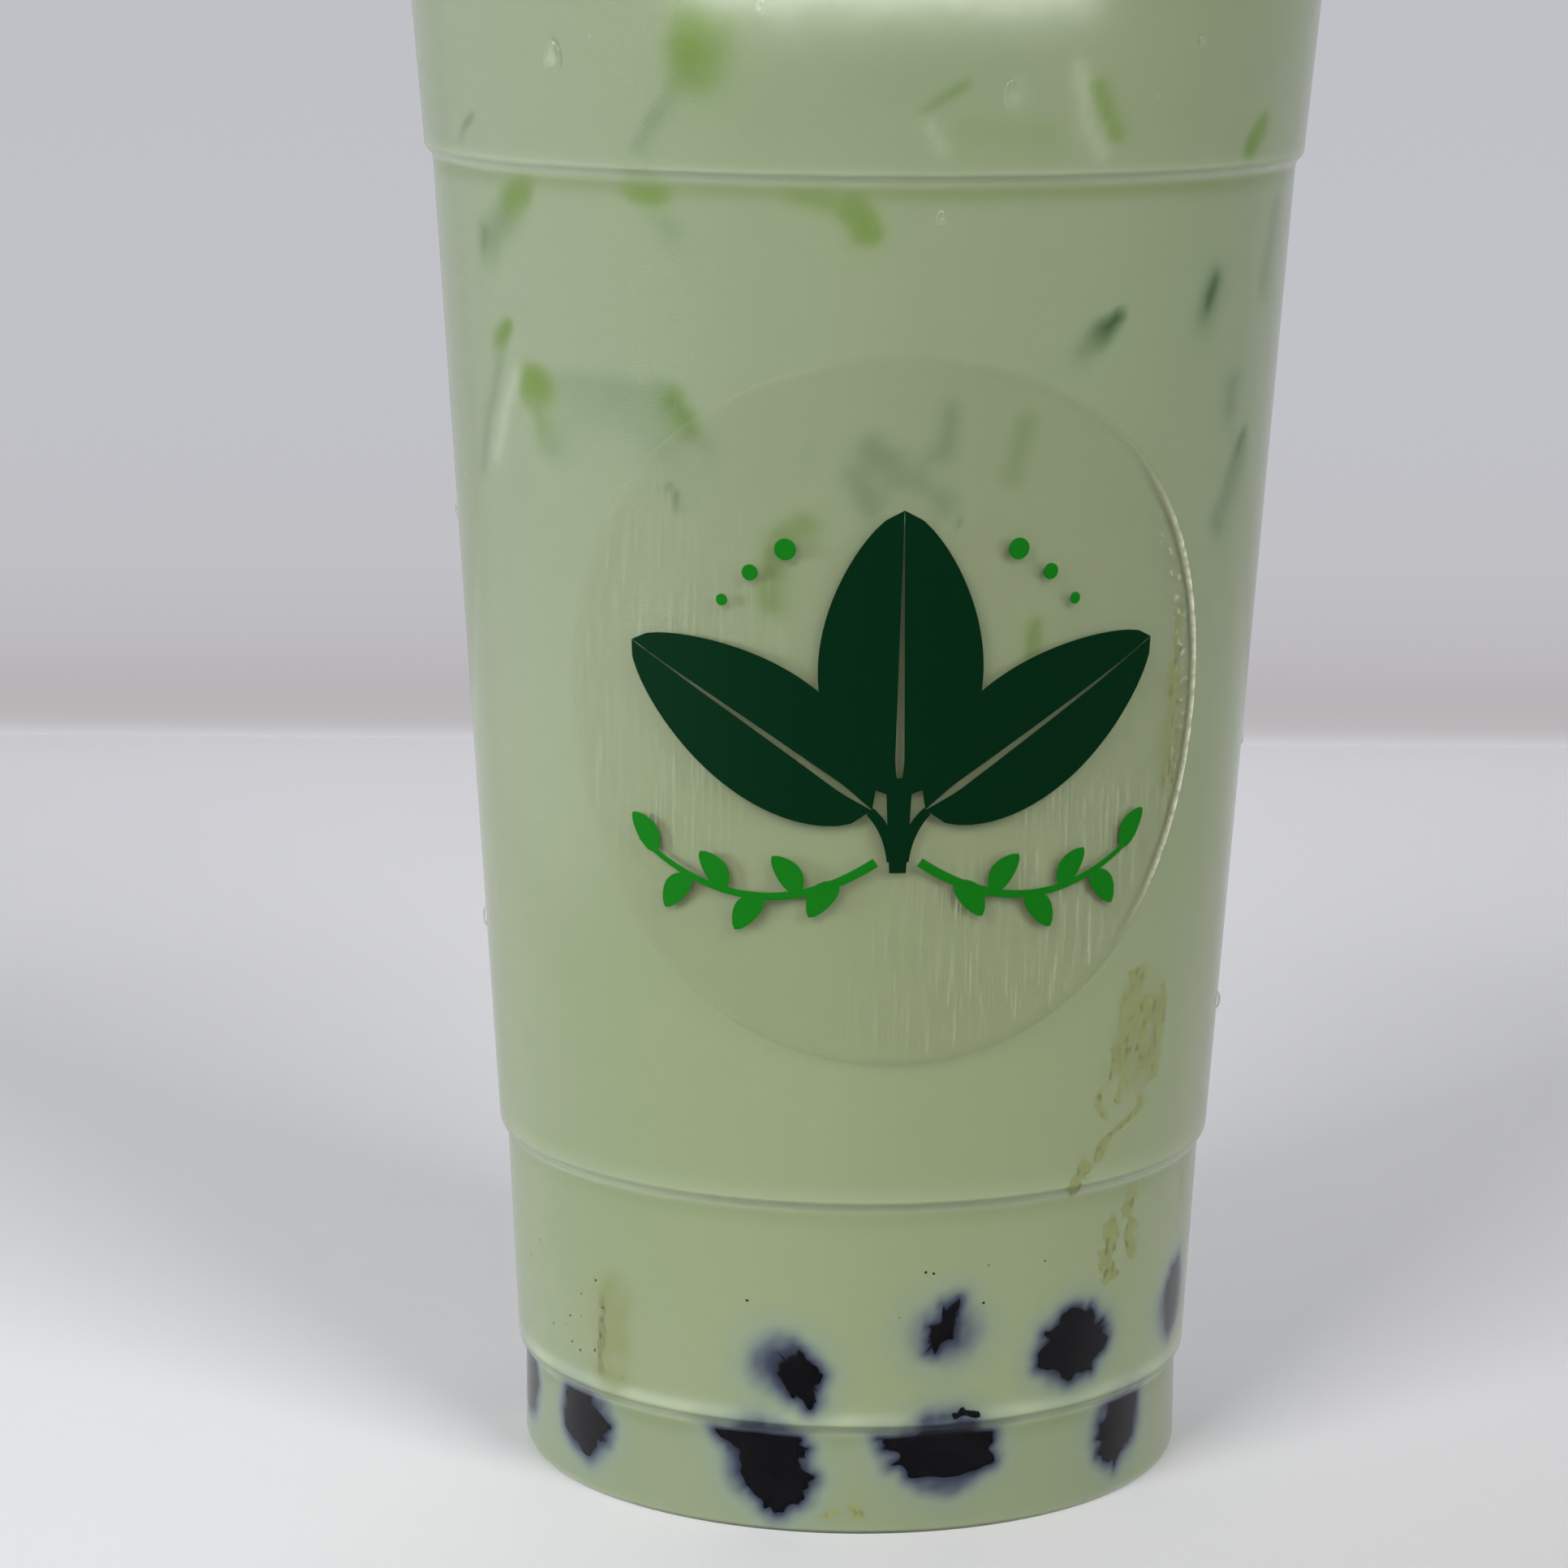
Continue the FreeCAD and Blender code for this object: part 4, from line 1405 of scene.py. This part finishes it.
class HONEYDEW_OT_milk_tea(bpy.types.Operator):
    """Fills the cup, darker where ice and pearls show through the milk"""
    bl_idname = "honeydew.milk_tea"
    bl_label = "Milk tea"

    def execute(self, context):
        cup, drink = settings()[:2]
        inset, lift = cup.wall - drink.reach, 0.5 * cup.floor
        level = cup.overall_height - drink.headspace
        at_level = band_radius(cup, level + drink.meniscus, inset)
        base = resampled(rounded(base_corners(cup, inset, lift), 4), 4 * MM)
        side_corners = [tuple(base[-1]) + (NO_ROUND,)] + wall_corners(cup, inset)
        side_corners.append((at_level, level + drink.meniscus, NO_ROUND))
        side = resampled(rounded(side_corners, 4), drink.row_step)
        curl = [(at_level - run * MM, level + drink.meniscus * math.exp(-run / CURL_FALL))
                for run in CURL_RUNS]
        inner = at_level - CURL_RUNS[-1] * MM
        flat = [(inner * (1 - ring / SURFACE_RINGS), level)
                for ring in range(1, SURFACE_RINGS + 1)]
        profile = np.concatenate([base, side[1:], curl, flat])
        points, faces = lathe(profile, drink.segments)
        top = (points[:, 2] > level - 0.05 * MM) & (np.hypot(points[:, 0], points[:, 1])
                                                   < at_level - 2 * MM)
        points[top, 2] += 0.12 * MM * wander(points[top], 9 * MM, 1.0)
        material = milk_material(drink, "milk_tea_at_wall", 0.5, 0.0)
        made = add_object("milk_tea_fill", points, faces, material)
        made.data.materials.append(milk_material(drink, "milk_tea_surface", 0.25, 0.5))
        lowest = [points[face, 2].min() for face in faces]
        made.data.polygons.foreach_set(
            "material_index", (np.array(lowest) > level - 0.3 * MM).astype(np.int32))
        self.mark(made, points, cup, drink)
        finish_piece(made, ["milk_tea"])
        return {"FINISHED"}

    def mark(self, made, points, cup, drink):
        """Stores how near the ice and the pearls are, where the wall is stained, and the
        painted light and shade.
        """
        wall = Wall(cup, cup.wall)
        green, grey, pale = ice_marks(wall, points, drink.seed)
        store(made, "ice_green", np.clip(green, 0, 1))
        store(made, "ice_grey", grey)
        # painted light on the lit edges of ice blocks, and on the top surface to make it paler
        level = (cup.overall_height - drink.headspace) - 0.5 * MM
        store(made, "painted_light", np.maximum(pale, 0.6 * (points[:, 2] > level)))
        shade, glow = ledge_tones(cup, points)
        store(made, "ledge_shade", shade)
        store(made, "ledge_glow", glow)
        heights = points[:, 2] / MM
        # painted shade over the foot, below the foot ledge
        store(made, "foot", 1 - smoothstep(*FOOT_SHADE_FADE, heights))
        store(made, "cold", smoothstep(*COLD_FADE, heights))
        pearls = bpy.data.objects["tapioca_pearls"].data
        tree = BVHTree.FromPolygons([vertex.co for vertex in pearls.vertices],
                                    [face.vertices[:] for face in pearls.polygons])
        gaps = np.full(len(points), GAP_LIMIT)
        for index in np.flatnonzero(heights < PEARLS_BELOW):
            found = tree.find_nearest(Vector(points[index]))
            gaps[index] = min(GAP_LIMIT, found[3] / MM)
        sway = 0.25 * wander(points, 1.1 * MM, 3.0) * (gaps > 0.3)
        store(made, "pearl_gap", np.clip((gaps + sway) / GAP_LIMIT, 0, 1))
        stain = stroke_field(wall, SMEARS, degrees_round(points), heights, 1.6)
        store(made, "stain", stain * (0.6 + 0.6 * wander(points, 2.2 * MM, 8.0)).clip(0, 1))


class HONEYDEW_OT_ice(bpy.types.Operator):
    """Sinks melted ice blocks in the upper half, a few of them just above the surface"""
    bl_idname = "honeydew.ice"
    bl_label = "Ice"

    def execute(self, context):
        cup, drink = settings()[:2]
        wall = Wall(cup, cup.wall - drink.reach)
        level = cup.overall_height - drink.headspace
        points, faces = joined(ice_blocks(wall, level, drink.seed))
        made = add_object("ice_blocks", points, faces, ice_material())
        finish_piece(made)
        return {"FINISHED"}


CELL = 0.17                 # millimetres between the lattice lines of the residue
CELL_TURN = math.degrees(CELL / 34.0)   # the same in degrees, on a wall of 34 mm radius


def residue_marks(seed):
    """The placed marks, and a few round the side away from the label."""
    chance = random.Random(seed + 6)
    marks = list(RESIDUE_MARKS)
    for _ in range(9):
        degrees, height = chance.uniform(90, 270), chance.uniform(24, 90)
        end = (degrees + chance.uniform(-2, 2), height - chance.uniform(1, 7))
        marks.append(([(degrees, height), end], chance.uniform(0.4, 1.3)))
    return marks


def residue_cells(wall, marks):
    """Columns and rows of the lattice cells that the marks cover, ragged at the edge."""
    kept = set()
    for line, half in marks:
        angles = [place[0] for place in line]
        tops = [place[1] for place in line]
        reach = half + 0.9
        spread = math.degrees(reach / 33.0)
        columns = np.arange(math.floor((min(angles) - spread) / CELL_TURN),
                            math.ceil((max(angles) + spread) / CELL_TURN))
        rows = np.arange(math.floor((min(tops) - reach) / CELL),
                         math.ceil((max(tops) + reach) / CELL))
        grid = np.array(np.meshgrid(columns, rows)).reshape(2, -1)
        degrees, heights = (grid[0] + 0.5) * CELL_TURN, (grid[1] + 0.5) * CELL
        gap = stroke_offset(wall, line, degrees, heights)[0]
        spots = np.stack([degrees * 0.6, heights, 0 * heights], 1)
        grain = 0.75 * wander(spots, 1.5, 2.0) + 0.55 * wander(spots, 0.55, 6.0)
        solid = 0.55 - (gap / (half + 0.25)) ** 1.5 + grain > 0
        kept |= {(int(column), int(row)) for column, row in grid.T[solid]}
    return sorted(kept)


def residue_film(cells):
    """The cells as smoothed faces, with points in degrees and millimetres of height."""
    shape = bmesh.new()
    corners = {}

    def corner(column, row):
        """The lattice point at a cell's corner, made once."""
        if (column, row) not in corners:
            corners[column, row] = shape.verts.new((column * CELL_TURN, row * CELL, 0))
        return corners[column, row]

    for column, row in cells:
        shape.faces.new([corner(column, row), corner(column + 1, row),
                         corner(column + 1, row + 1), corner(column, row + 1)])
    for _ in range(2):
        bmesh.ops.smooth_vert(shape, verts=shape.verts[:], factor=0.5,
                              use_axis_x=True, use_axis_y=True, use_axis_z=False)
    shape.verts.index_update()
    return taken(shape)


class HONEYDEW_OT_residue(bpy.types.Operator):
    """Dries thin flakes of residue on the inside of the wall"""
    bl_idname = "honeydew.residue"
    bl_label = "Dried residue"

    def execute(self, context):
        cup, drink = settings()[:2]
        wall = Wall(cup, cup.wall - drink.reach - 0.03 * MM)
        flat, faces = residue_film(residue_cells(wall, residue_marks(drink.seed)))
        points = wall.place(flat[:, 0], flat[:, 1] * MM)
        made = add_object("dried_residue", points, faces, residue_material(drink))
        dark = smoothstep(0.15, 0.5, wander(flat, 1.0, 4.0))
        low_left = (flat[:, 0] < -40) & (flat[:, 0] > -60)
        store(made, "dark", 0.55 * dark + 0.4 * low_left)
        finish_piece(made)
        return {"FINISHED"}


class HONEYDEW_OT_label(bpy.types.Operator):
    """Sticks the round clear film on the tapered wall"""
    bl_idname = "honeydew.label"
    bl_label = "Label film"

    def execute(self, context):
        cup, _, label, _ = settings()
        place = LabelPlace(cup, label)
        radius = label.diameter / 2 / MM
        turned = np.arange(FILM_SPOKES) * 2 * math.pi / FILM_SPOKES
        flats = [np.zeros((1, 2))]
        for share in FILM_RINGS:
            flats.append(radius * share * np.stack([np.cos(turned), np.sin(turned)], 1))
        front = np.concatenate(flats)
        side = self.lifted_and_highlit(front, radius)
        lift = label.gap + label.film
        top = place.at(front[:, 0], front[:, 1], lift + 0.05 * MM * side)
        under = place.at(front[:, 0], front[:, 1], label.gap + 0.04 * MM * side)
        count = len(front)
        rings = len(FILM_RINGS)
        faces = [[0, 1 + i, 1 + (i + 1) % FILM_SPOKES] for i in range(FILM_SPOKES)]
        faces += [face[::-1] for face in grid_faces(1, rings, FILM_SPOKES, True)]
        back = [[count + index for index in face[::-1]] for face in faces]
        last = 1 + (rings - 1) * FILM_SPOKES
        rim = [[last + (i + 1) % FILM_SPOKES, last + i, count + last + i,
                count + last + (i + 1) % FILM_SPOKES] for i in range(FILM_SPOKES)]
        points = np.concatenate([top, under])
        made = add_object("label_film_round", points, faces + back + rim, film_material())
        flat = np.concatenate([front, front])
        self.store_marks(made, flat, np.concatenate([side, side]), radius)
        finish_piece(made, ["label"])
        return {"FINISHED"}

    @staticmethod
    def lifted_and_highlit(flat, radius):
        """Where the film stands off the wall a little: a crescent by its right edge, which is
        also painted as a highlight.
        """
        reach, turned = polar(flat, radius)
        band = smoothstep(0.976, 0.985, reach) * (1 - smoothstep(0.996, 1.0, reach))
        return band * (1 - smoothstep(20, 50, np.abs(turned + 2)))

    @staticmethod
    def store_marks(made, flat, side, radius):
        """Flat coordinates as UV, and masks for the edge, the lift with its painted highlight
        and the streaks.
        """
        reach, turned = polar(flat, radius)
        seen = 0.12 + 0.88 * (1 - smoothstep(40, 130, np.abs(turned + 30)))
        store(made, "edge", smoothstep(0.978, 0.992, reach) * seen)
        inner = smoothstep(0.89, 0.92, reach) * (1 - smoothstep(0.95, 0.968, reach))
        store(made, "trapped", inner * (1 - smoothstep(14, 34, np.abs(turned - 8))))
        store(made, "lifted_and_highlit", side)
        lower = smoothstep(-110, -70, turned) * (1 - smoothstep(-28, -8, turned))
        left = 1 - smoothstep(20, 60, np.abs(np.abs(turned) - 180))
        ring = smoothstep(0.35, 0.6, reach) * (1 - smoothstep(0.93, 0.99, reach))
        store(made, "streaks", np.clip(lower * ring + 0.5 * left * ring + 0.12, 0, 1))
        layer = made.data.uv_layers.new(name="flat")
        corners = np.empty(len(made.data.loops), dtype=np.int64)
        made.data.loops.foreach_get("vertex_index", corners)
        layer.data.foreach_set("uv", (flat[corners] / (2 * radius) + 0.5).ravel())


class HONEYDEW_OT_print(bpy.types.Operator):
    """Prints the sprig of leaves on the label"""
    bl_idname = "honeydew.print"
    bl_label = "Label print"

    def execute(self, context):
        cup, _, label, _ = settings()
        place = LabelPlace(cup, label)
        dark, bright = print_shapes()
        flat, faces = joined(dark + bright)
        count = sum(len(points) for points, _ in dark)
        lift = label.gap + label.film + 0.02 * MM
        points = place.at(flat[:, 0], flat[:, 1], lift)
        made = add_object("label_print", points, faces, ink_material(label))
        store(made, "bright", (np.arange(len(flat)) >= count).astype(float))
        finish_piece(made)
        return {"FINISHED"}


class HONEYDEW_OT_drops(bpy.types.Operator):
    """Sets water drops on the outside of the wall"""
    bl_idname = "honeydew.drops"
    bl_label = "Water drops"

    def execute(self, context):
        cup, drink = settings()[:2]
        wall = Wall(cup, 0)
        chance = random.Random(drink.seed + 7)
        parts = [drop_shape(wall, drop, chance) for drop in drops_list(drink.seed)]
        points, faces = joined(parts)
        made = add_object("water_drops", points, faces, water_material())
        finish_piece(made)
        return {"FINISHED"}


BUBBLES = 230


class HONEYDEW_OT_bubbles(bpy.types.Operator):
    """Scatters small bubbles on the surface, most of them along the wall"""
    bl_idname = "honeydew.bubbles"
    bl_label = "Surface bubbles"

    def execute(self, context):
        cup, drink = settings()[:2]
        level = cup.overall_height - drink.headspace
        at_level = band_radius(cup, level, cup.wall)
        chance = random.Random(drink.seed + 8)
        parts = []
        for number in range(BUBBLES):
            size = chance.uniform(0.25, 0.95) if number % 4 else chance.uniform(0.8, 1.5)
            turned = chance.uniform(0, 2 * math.pi)
            if number % 3:
                reach = at_level / MM - size - 0.7 - abs(chance.gauss(0, 1.6))
            else:
                reach = chance.uniform(6, 38)
            centre = (reach * math.sin(turned) * MM, -reach * math.cos(turned) * MM,
                      level + 0.1 * size * MM)
            parts.append(ball(2, centre, size * MM, 0.03, number * 1.7))
        points, faces = joined(parts)
        made = add_object("surface_bubbles", points, faces, bubble_material(drink))
        finish_piece(made)
        return {"FINISHED"}


# ---------------------------------------------------------------- the stage

def background_shader(nodes, tone, lit):
    """A tone shown as written to the camera, gloss and glass, and a lit surface else."""
    path = nodes.add("ShaderNodeLightPath")
    seen = nodes.math("MAXIMUM", path.outputs["Is Camera Ray"],
                      path.outputs["Is Glossy Ray"])
    seen = nodes.math("MAXIMUM", seen, path.outputs["Is Transmission Ray"])
    shown = nodes.add("ShaderNodeEmission", Color=tone, Strength=1.0)
    mixed = nodes.add("ShaderNodeMixShader")
    nodes.put(mixed.inputs[0], seen)
    nodes.put(mixed.inputs[1], lit.outputs[0])
    nodes.put(mixed.inputs[2], shown.outputs[0])
    return mixed


BACKDROP_SPAN = 0.2         # metres of height that its tones cover
# the wall's tones up from its foot: a paler lowest edge, then a band of painted shade where it
# meets the table
BACKDROP_TONES = [
    (0.0, display(205, 204, 209)), (0.007, display(194, 192, 196)),
    (0.014, display(186, 184, 186)), (0.03, display(183, 181, 182)),
    (0.05, display(183, 181, 184)), (0.08, display(188, 186, 191)),
    (0.16, display(192, 192, 197)), (0.35, display(193, 194, 199)),
]


def backdrop_material(stage):
    """A plain wall with painted shade in a band near its foot and a paler lowest edge, seen
    from the front only.
    """
    material, nodes = new_material("backdrop")
    place = nodes.add("ShaderNodeTexCoord").outputs["Object"]
    height = nodes.add("ShaderNodeSeparateXYZ", Vector=place).outputs["Z"]
    share = nodes.math("MULTIPLY", height, 1 / BACKDROP_SPAN)
    tone = nodes.ramp(share, BACKDROP_TONES + [(0.8, tuple(stage.backdrop))])
    lit = nodes.add("ShaderNodeBsdfDiffuse", Color=tone)
    front = background_shader(nodes, tone, lit)
    behind = nodes.add("ShaderNodeBsdfTransparent")
    facing = nodes.add("ShaderNodeNewGeometry").outputs["Backfacing"]
    mixed = nodes.add("ShaderNodeMixShader")
    nodes.put(mixed.inputs[0], facing)
    nodes.put(mixed.inputs[1], front.outputs[0])
    nodes.put(mixed.inputs[2], behind.outputs[0])
    nodes.add("ShaderNodeOutputMaterial", Surface=mixed.outputs[0])
    return material


def floor_material(stage):
    """A pale matt table with painted shade that darkens it towards the right and the front."""
    material, nodes = new_material("table")
    place = nodes.add("ShaderNodeTexCoord").outputs["Object"]
    apart = nodes.add("ShaderNodeSeparateXYZ", Vector=place).outputs
    # painted shade: darker towards +X and towards the camera
    share = nodes.math("MULTIPLY_ADD", apart["Y"], -4.5, 0.15)
    share = nodes.math("MULTIPLY_ADD", apart["X"], 5.0, share)
    toned = nodes.ramp(share, [(0.0, tuple(stage.floor)), (1.0, display(215, 213, 214))])
    tone = nodes.group(cloudy_tone(), Colour=toned, Second_Colour=toned, Scale=4.0,
                       Fine_Scale=1500.0, Fine_Amount=0.02)
    shader = nodes.add("ShaderNodeBsdfPrincipled", Base_Color=tone.outputs[0],
                       Roughness=0.65, Specular_IOR_Level=0.25)
    plain_output(nodes, shader)
    return material


def area_lamp(name, place, target, size, power, tone=(1, 1, 1)):
    """A rectangular lamp that faces a point."""
    lamp = bpy.data.lights.new(name, "AREA")
    lamp.shape = "RECTANGLE"
    lamp.size, lamp.size_y = size
    lamp.energy = power
    lamp.color = tone
    made = bpy.data.objects.new(name, lamp)
    made.visible_camera = False
    made.location = place
    facing = Vector(target) - Vector(place)
    made.rotation_euler = facing.to_track_quat("-Z", "Y").to_euler()
    bpy.context.scene.collection.objects.link(made)
    return made


LENS, SENSOR = 114.17, 36.0         # millimetres
CAMERA_REACH = 0.47745      # metres from the cup's axis
CAMERA_HEIGHT = 0.1593      # metres over the table
CAMERA_BEARING = -5.89      # degrees from the label's centre towards +X
CAMERA_HEADING = -5.04      # degrees that it looks to the side of +Y
CAMERA_DIP = 11.082         # degrees that it looks down
CAMERA_ROLL = 0.496         # degrees that it leans


def make_camera():
    """The camera: a long lens, a little above the cup and a little to the left."""
    lens = bpy.data.cameras.new("camera")
    lens.lens = LENS
    lens.sensor_width = SENSOR
    lens.clip_start, lens.clip_end = 0.01, 20.0
    made = bpy.data.objects.new("camera", lens)
    turned = math.radians(CAMERA_BEARING)
    place = Vector((CAMERA_REACH * math.sin(turned), -CAMERA_REACH * math.cos(turned),
                    CAMERA_HEIGHT))
    heading = Matrix.Rotation(math.radians(CAMERA_HEADING), 4, "Z")
    tilt = Matrix.Rotation(math.radians(90 - CAMERA_DIP), 4, "X")
    roll = Matrix.Rotation(math.radians(CAMERA_ROLL), 4, "Z")
    made.matrix_world = Matrix.Translation(place) @ heading @ tilt @ roll
    bpy.context.scene.collection.objects.link(made)
    bpy.context.scene.camera = made


# lamps on the whole scene: name, place, size, power
LAMPS = [
    ("lamp_left", (-0.74, -0.95, 0.8), (0.6, 0.6), 11.8),
    ("lamp_right", (0.62, -1.02, 0.8), (0.6, 0.6), 10.7),
    ("lamp_top", (0.0, -0.1, 1.3), (1.0, 0.8), 0.9),
]
LAMP_TARGET = (0, 0, 0.07)
# lamps on the drink and its cup alone: name, place, size, power, tone
FILLS = [
    ("fill_left", (-1.2, -0.2, 0.1), (0.4, 0.3), 18.5, (0.94, 0.98, 1.12)),
    ("fill_right", (1.06, -0.58, 0.1), (0.4, 0.3), 7.8, (0.97, 1.01, 1.08)),
    ("fill_back", (0.1, 1.0, 0.35), (0.8, 0.5), 7.0, (1, 1, 1)),
]
FILL_TARGET = (0, 0, 0.08)
THROUGH_BACKDROP = "fill_back"      # stands behind the wall, which doesn't block it
NOT_FILLED = ("table", "backdrop", "water_drops")
# the lamp seen in gloss alone: its middle, size and power, and its glow from front to back
SHEEN_PLACE = (-0.21, -0.06, 0.16)
SHEEN_SIZE = (0.54, 0.31)
SHEEN_POWER = 2.0
SHEEN_FADE = [(0.0, 0.0), (0.2, 0.35), (0.4, 1.0), (0.56, 0.6), (0.7, 0.28), (0.85, 0.09),
              (1.0, 0.03)]
AROUND = 0.10               # light from all round
GLOSS_CUT = -0.07           # taken off it in gloss


def fill_lamps(scene):
    """Low fills on everything but the stage and the drops, never seen themselves."""
    drink = bpy.data.collections.new("drink")
    for made in scene.objects:
        if made.type == "MESH" and made.name not in NOT_FILLED:
            drink.objects.link(made)
    for name, place, size, power, tone in FILLS:
        fill = area_lamp(name, place, FILL_TARGET, size, power, tone)
        fill.visible_glossy = False
        fill.visible_transmission = False
        fill.light_linking.receiver_collection = drink
        if name == THROUGH_BACKDROP:
            fill.light_linking.blocker_collection = drink


def sheen_lamp():
    """A pale streak in the gloss of the left side, from a lamp that fades to the back."""
    ahead = (0, SHEEN_PLACE[1], SHEEN_PLACE[2])
    made = area_lamp("lamp_sheen", SHEEN_PLACE, ahead, SHEEN_SIZE, SHEEN_POWER)
    made.visible_diffuse = False
    made.visible_transmission = False
    made.data.use_nodes = True
    made.data.node_tree.nodes.clear()
    nodes = Nodes(made.data.node_tree)
    place = nodes.add("ShaderNodeNewGeometry").outputs["Position"]
    along = nodes.add("ShaderNodeSeparateXYZ", Vector=place).outputs["Y"]
    long = SHEEN_SIZE[0]
    front = SHEEN_PLACE[1] - long / 2
    share = nodes.math("MULTIPLY_ADD", along, 1 / long, -front / long)
    glow = nodes.add("ShaderNodeEmission", Strength=nodes.ramp(share, SHEEN_FADE))
    nodes.add("ShaderNodeOutputLight", Surface=glow.outputs[0])


def surrounding(stage):
    """An even pale light from all round, shown to the camera in the wall's own tone."""
    world = bpy.data.worlds.new("surrounding")
    world.use_nodes = True
    world.node_tree.nodes.clear()
    nodes = Nodes(world.node_tree)
    path = nodes.add("ShaderNodeLightPath")
    seen = nodes.math("MAXIMUM", path.outputs["Is Camera Ray"],
                      path.outputs["Is Transmission Ray"])
    dim = nodes.math("MULTIPLY_ADD", path.outputs["Is Glossy Ray"], GLOSS_CUT, AROUND)
    light = nodes.add("ShaderNodeBackground", Color=(0.97, 0.98, 1.0), Strength=dim)
    shown = nodes.add("ShaderNodeBackground", Color=tuple(stage.backdrop), Strength=1.0)
    mixed = nodes.add("ShaderNodeMixShader")
    nodes.put(mixed.inputs[0], seen)
    nodes.put(mixed.inputs[1], light.outputs[0])
    nodes.put(mixed.inputs[2], shown.outputs[0])
    nodes.add("ShaderNodeOutputWorld", Surface=mixed.outputs[0])
    return world


class HONEYDEW_OT_stage(bpy.types.Operator):
    """Sets the table, the wall behind it, the lamps and the camera"""
    bl_idname = "honeydew.stage"
    bl_label = "Stage, lamps and camera"

    def execute(self, context):
        stage = settings()[3]
        turned = Matrix.Rotation(math.radians(CAMERA_HEADING), 3, "Z")
        half = stage.floor_size / 2
        far = stage.wall_distance
        table = [(-half, -half, 0), (half, -half, 0), (half, half, 0), (-half, half, 0)]
        floor = add_object("table", table, [[0, 1, 2, 3]], floor_material(stage), False)
        back = [(-half, far, 0), (-half, far, stage.wall_height),
                (half, far, stage.wall_height), (half, far, 0)]
        back = [turned @ Vector(point) for point in back]
        wall = add_object("backdrop", back, [[0, 3, 2, 1]], backdrop_material(stage), False)
        for name, place, size, power in LAMPS:
            area_lamp(name, place, LAMP_TARGET, size, power)
        fill_lamps(context.scene)
        sheen_lamp()
        context.scene.world = surrounding(stage)
        make_camera()
        context.scene.view_settings.view_transform = "Standard"
        return {"FINISHED"}


STEPS = [
    HONEYDEW_OT_cup, HONEYDEW_OT_pearls, HONEYDEW_OT_milk_tea, HONEYDEW_OT_ice,
    HONEYDEW_OT_residue, HONEYDEW_OT_label, HONEYDEW_OT_print, HONEYDEW_OT_drops,
    HONEYDEW_OT_bubbles, HONEYDEW_OT_stage,
]


class HONEYDEW_PT_panel(bpy.types.Panel):
    """Lists the sizes and the pieces"""
    bl_idname = "HONEYDEW_PT_panel"
    bl_label = "Honeydew milk tea"
    bl_space_type = "VIEW_3D"
    bl_region_type = "UI"
    bl_category = "Milk tea"

    def draw(self, context):
        for group in settings():
            box = self.layout.box()
            for name in group.__annotations__:
                box.prop(group, name)
        for step in STEPS:
            self.layout.operator(step.bl_idname)


GROUPS = {
    "honeydew_cup": HoneydewCupSizes,
    "honeydew_drink": HoneydewDrinkSizes,
    "honeydew_label": HoneydewLabelSizes,
    "honeydew_stage": HoneydewStageSizes,
}


def register():
    """Registers the classes and hangs the sizes on the scene."""
    for group in list(GROUPS.values()) + STEPS + [HONEYDEW_PT_panel]:
        bpy.utils.register_class(group)
    for name, group in GROUPS.items():
        setattr(bpy.types.Scene, name, PointerProperty(type=group))


def unregister():
    """Takes the sizes off the scene and the classes out."""
    for name in GROUPS:
        delattr(bpy.types.Scene, name)
    for group in [HONEYDEW_PT_panel] + STEPS[::-1] + list(GROUPS.values())[::-1]:
        bpy.utils.unregister_class(group)


def main():
    """Makes every piece in order."""
    register()
    bpy.ops.honeydew.cup()
    bpy.ops.honeydew.pearls()
    bpy.ops.honeydew.milk_tea()
    bpy.ops.honeydew.ice()
    bpy.ops.honeydew.residue()
    bpy.ops.honeydew.label()
    bpy.ops.honeydew.print()
    bpy.ops.honeydew.drops()
    bpy.ops.honeydew.bubbles()
    bpy.ops.honeydew.stage()


if __name__ == "__main__":
    main()
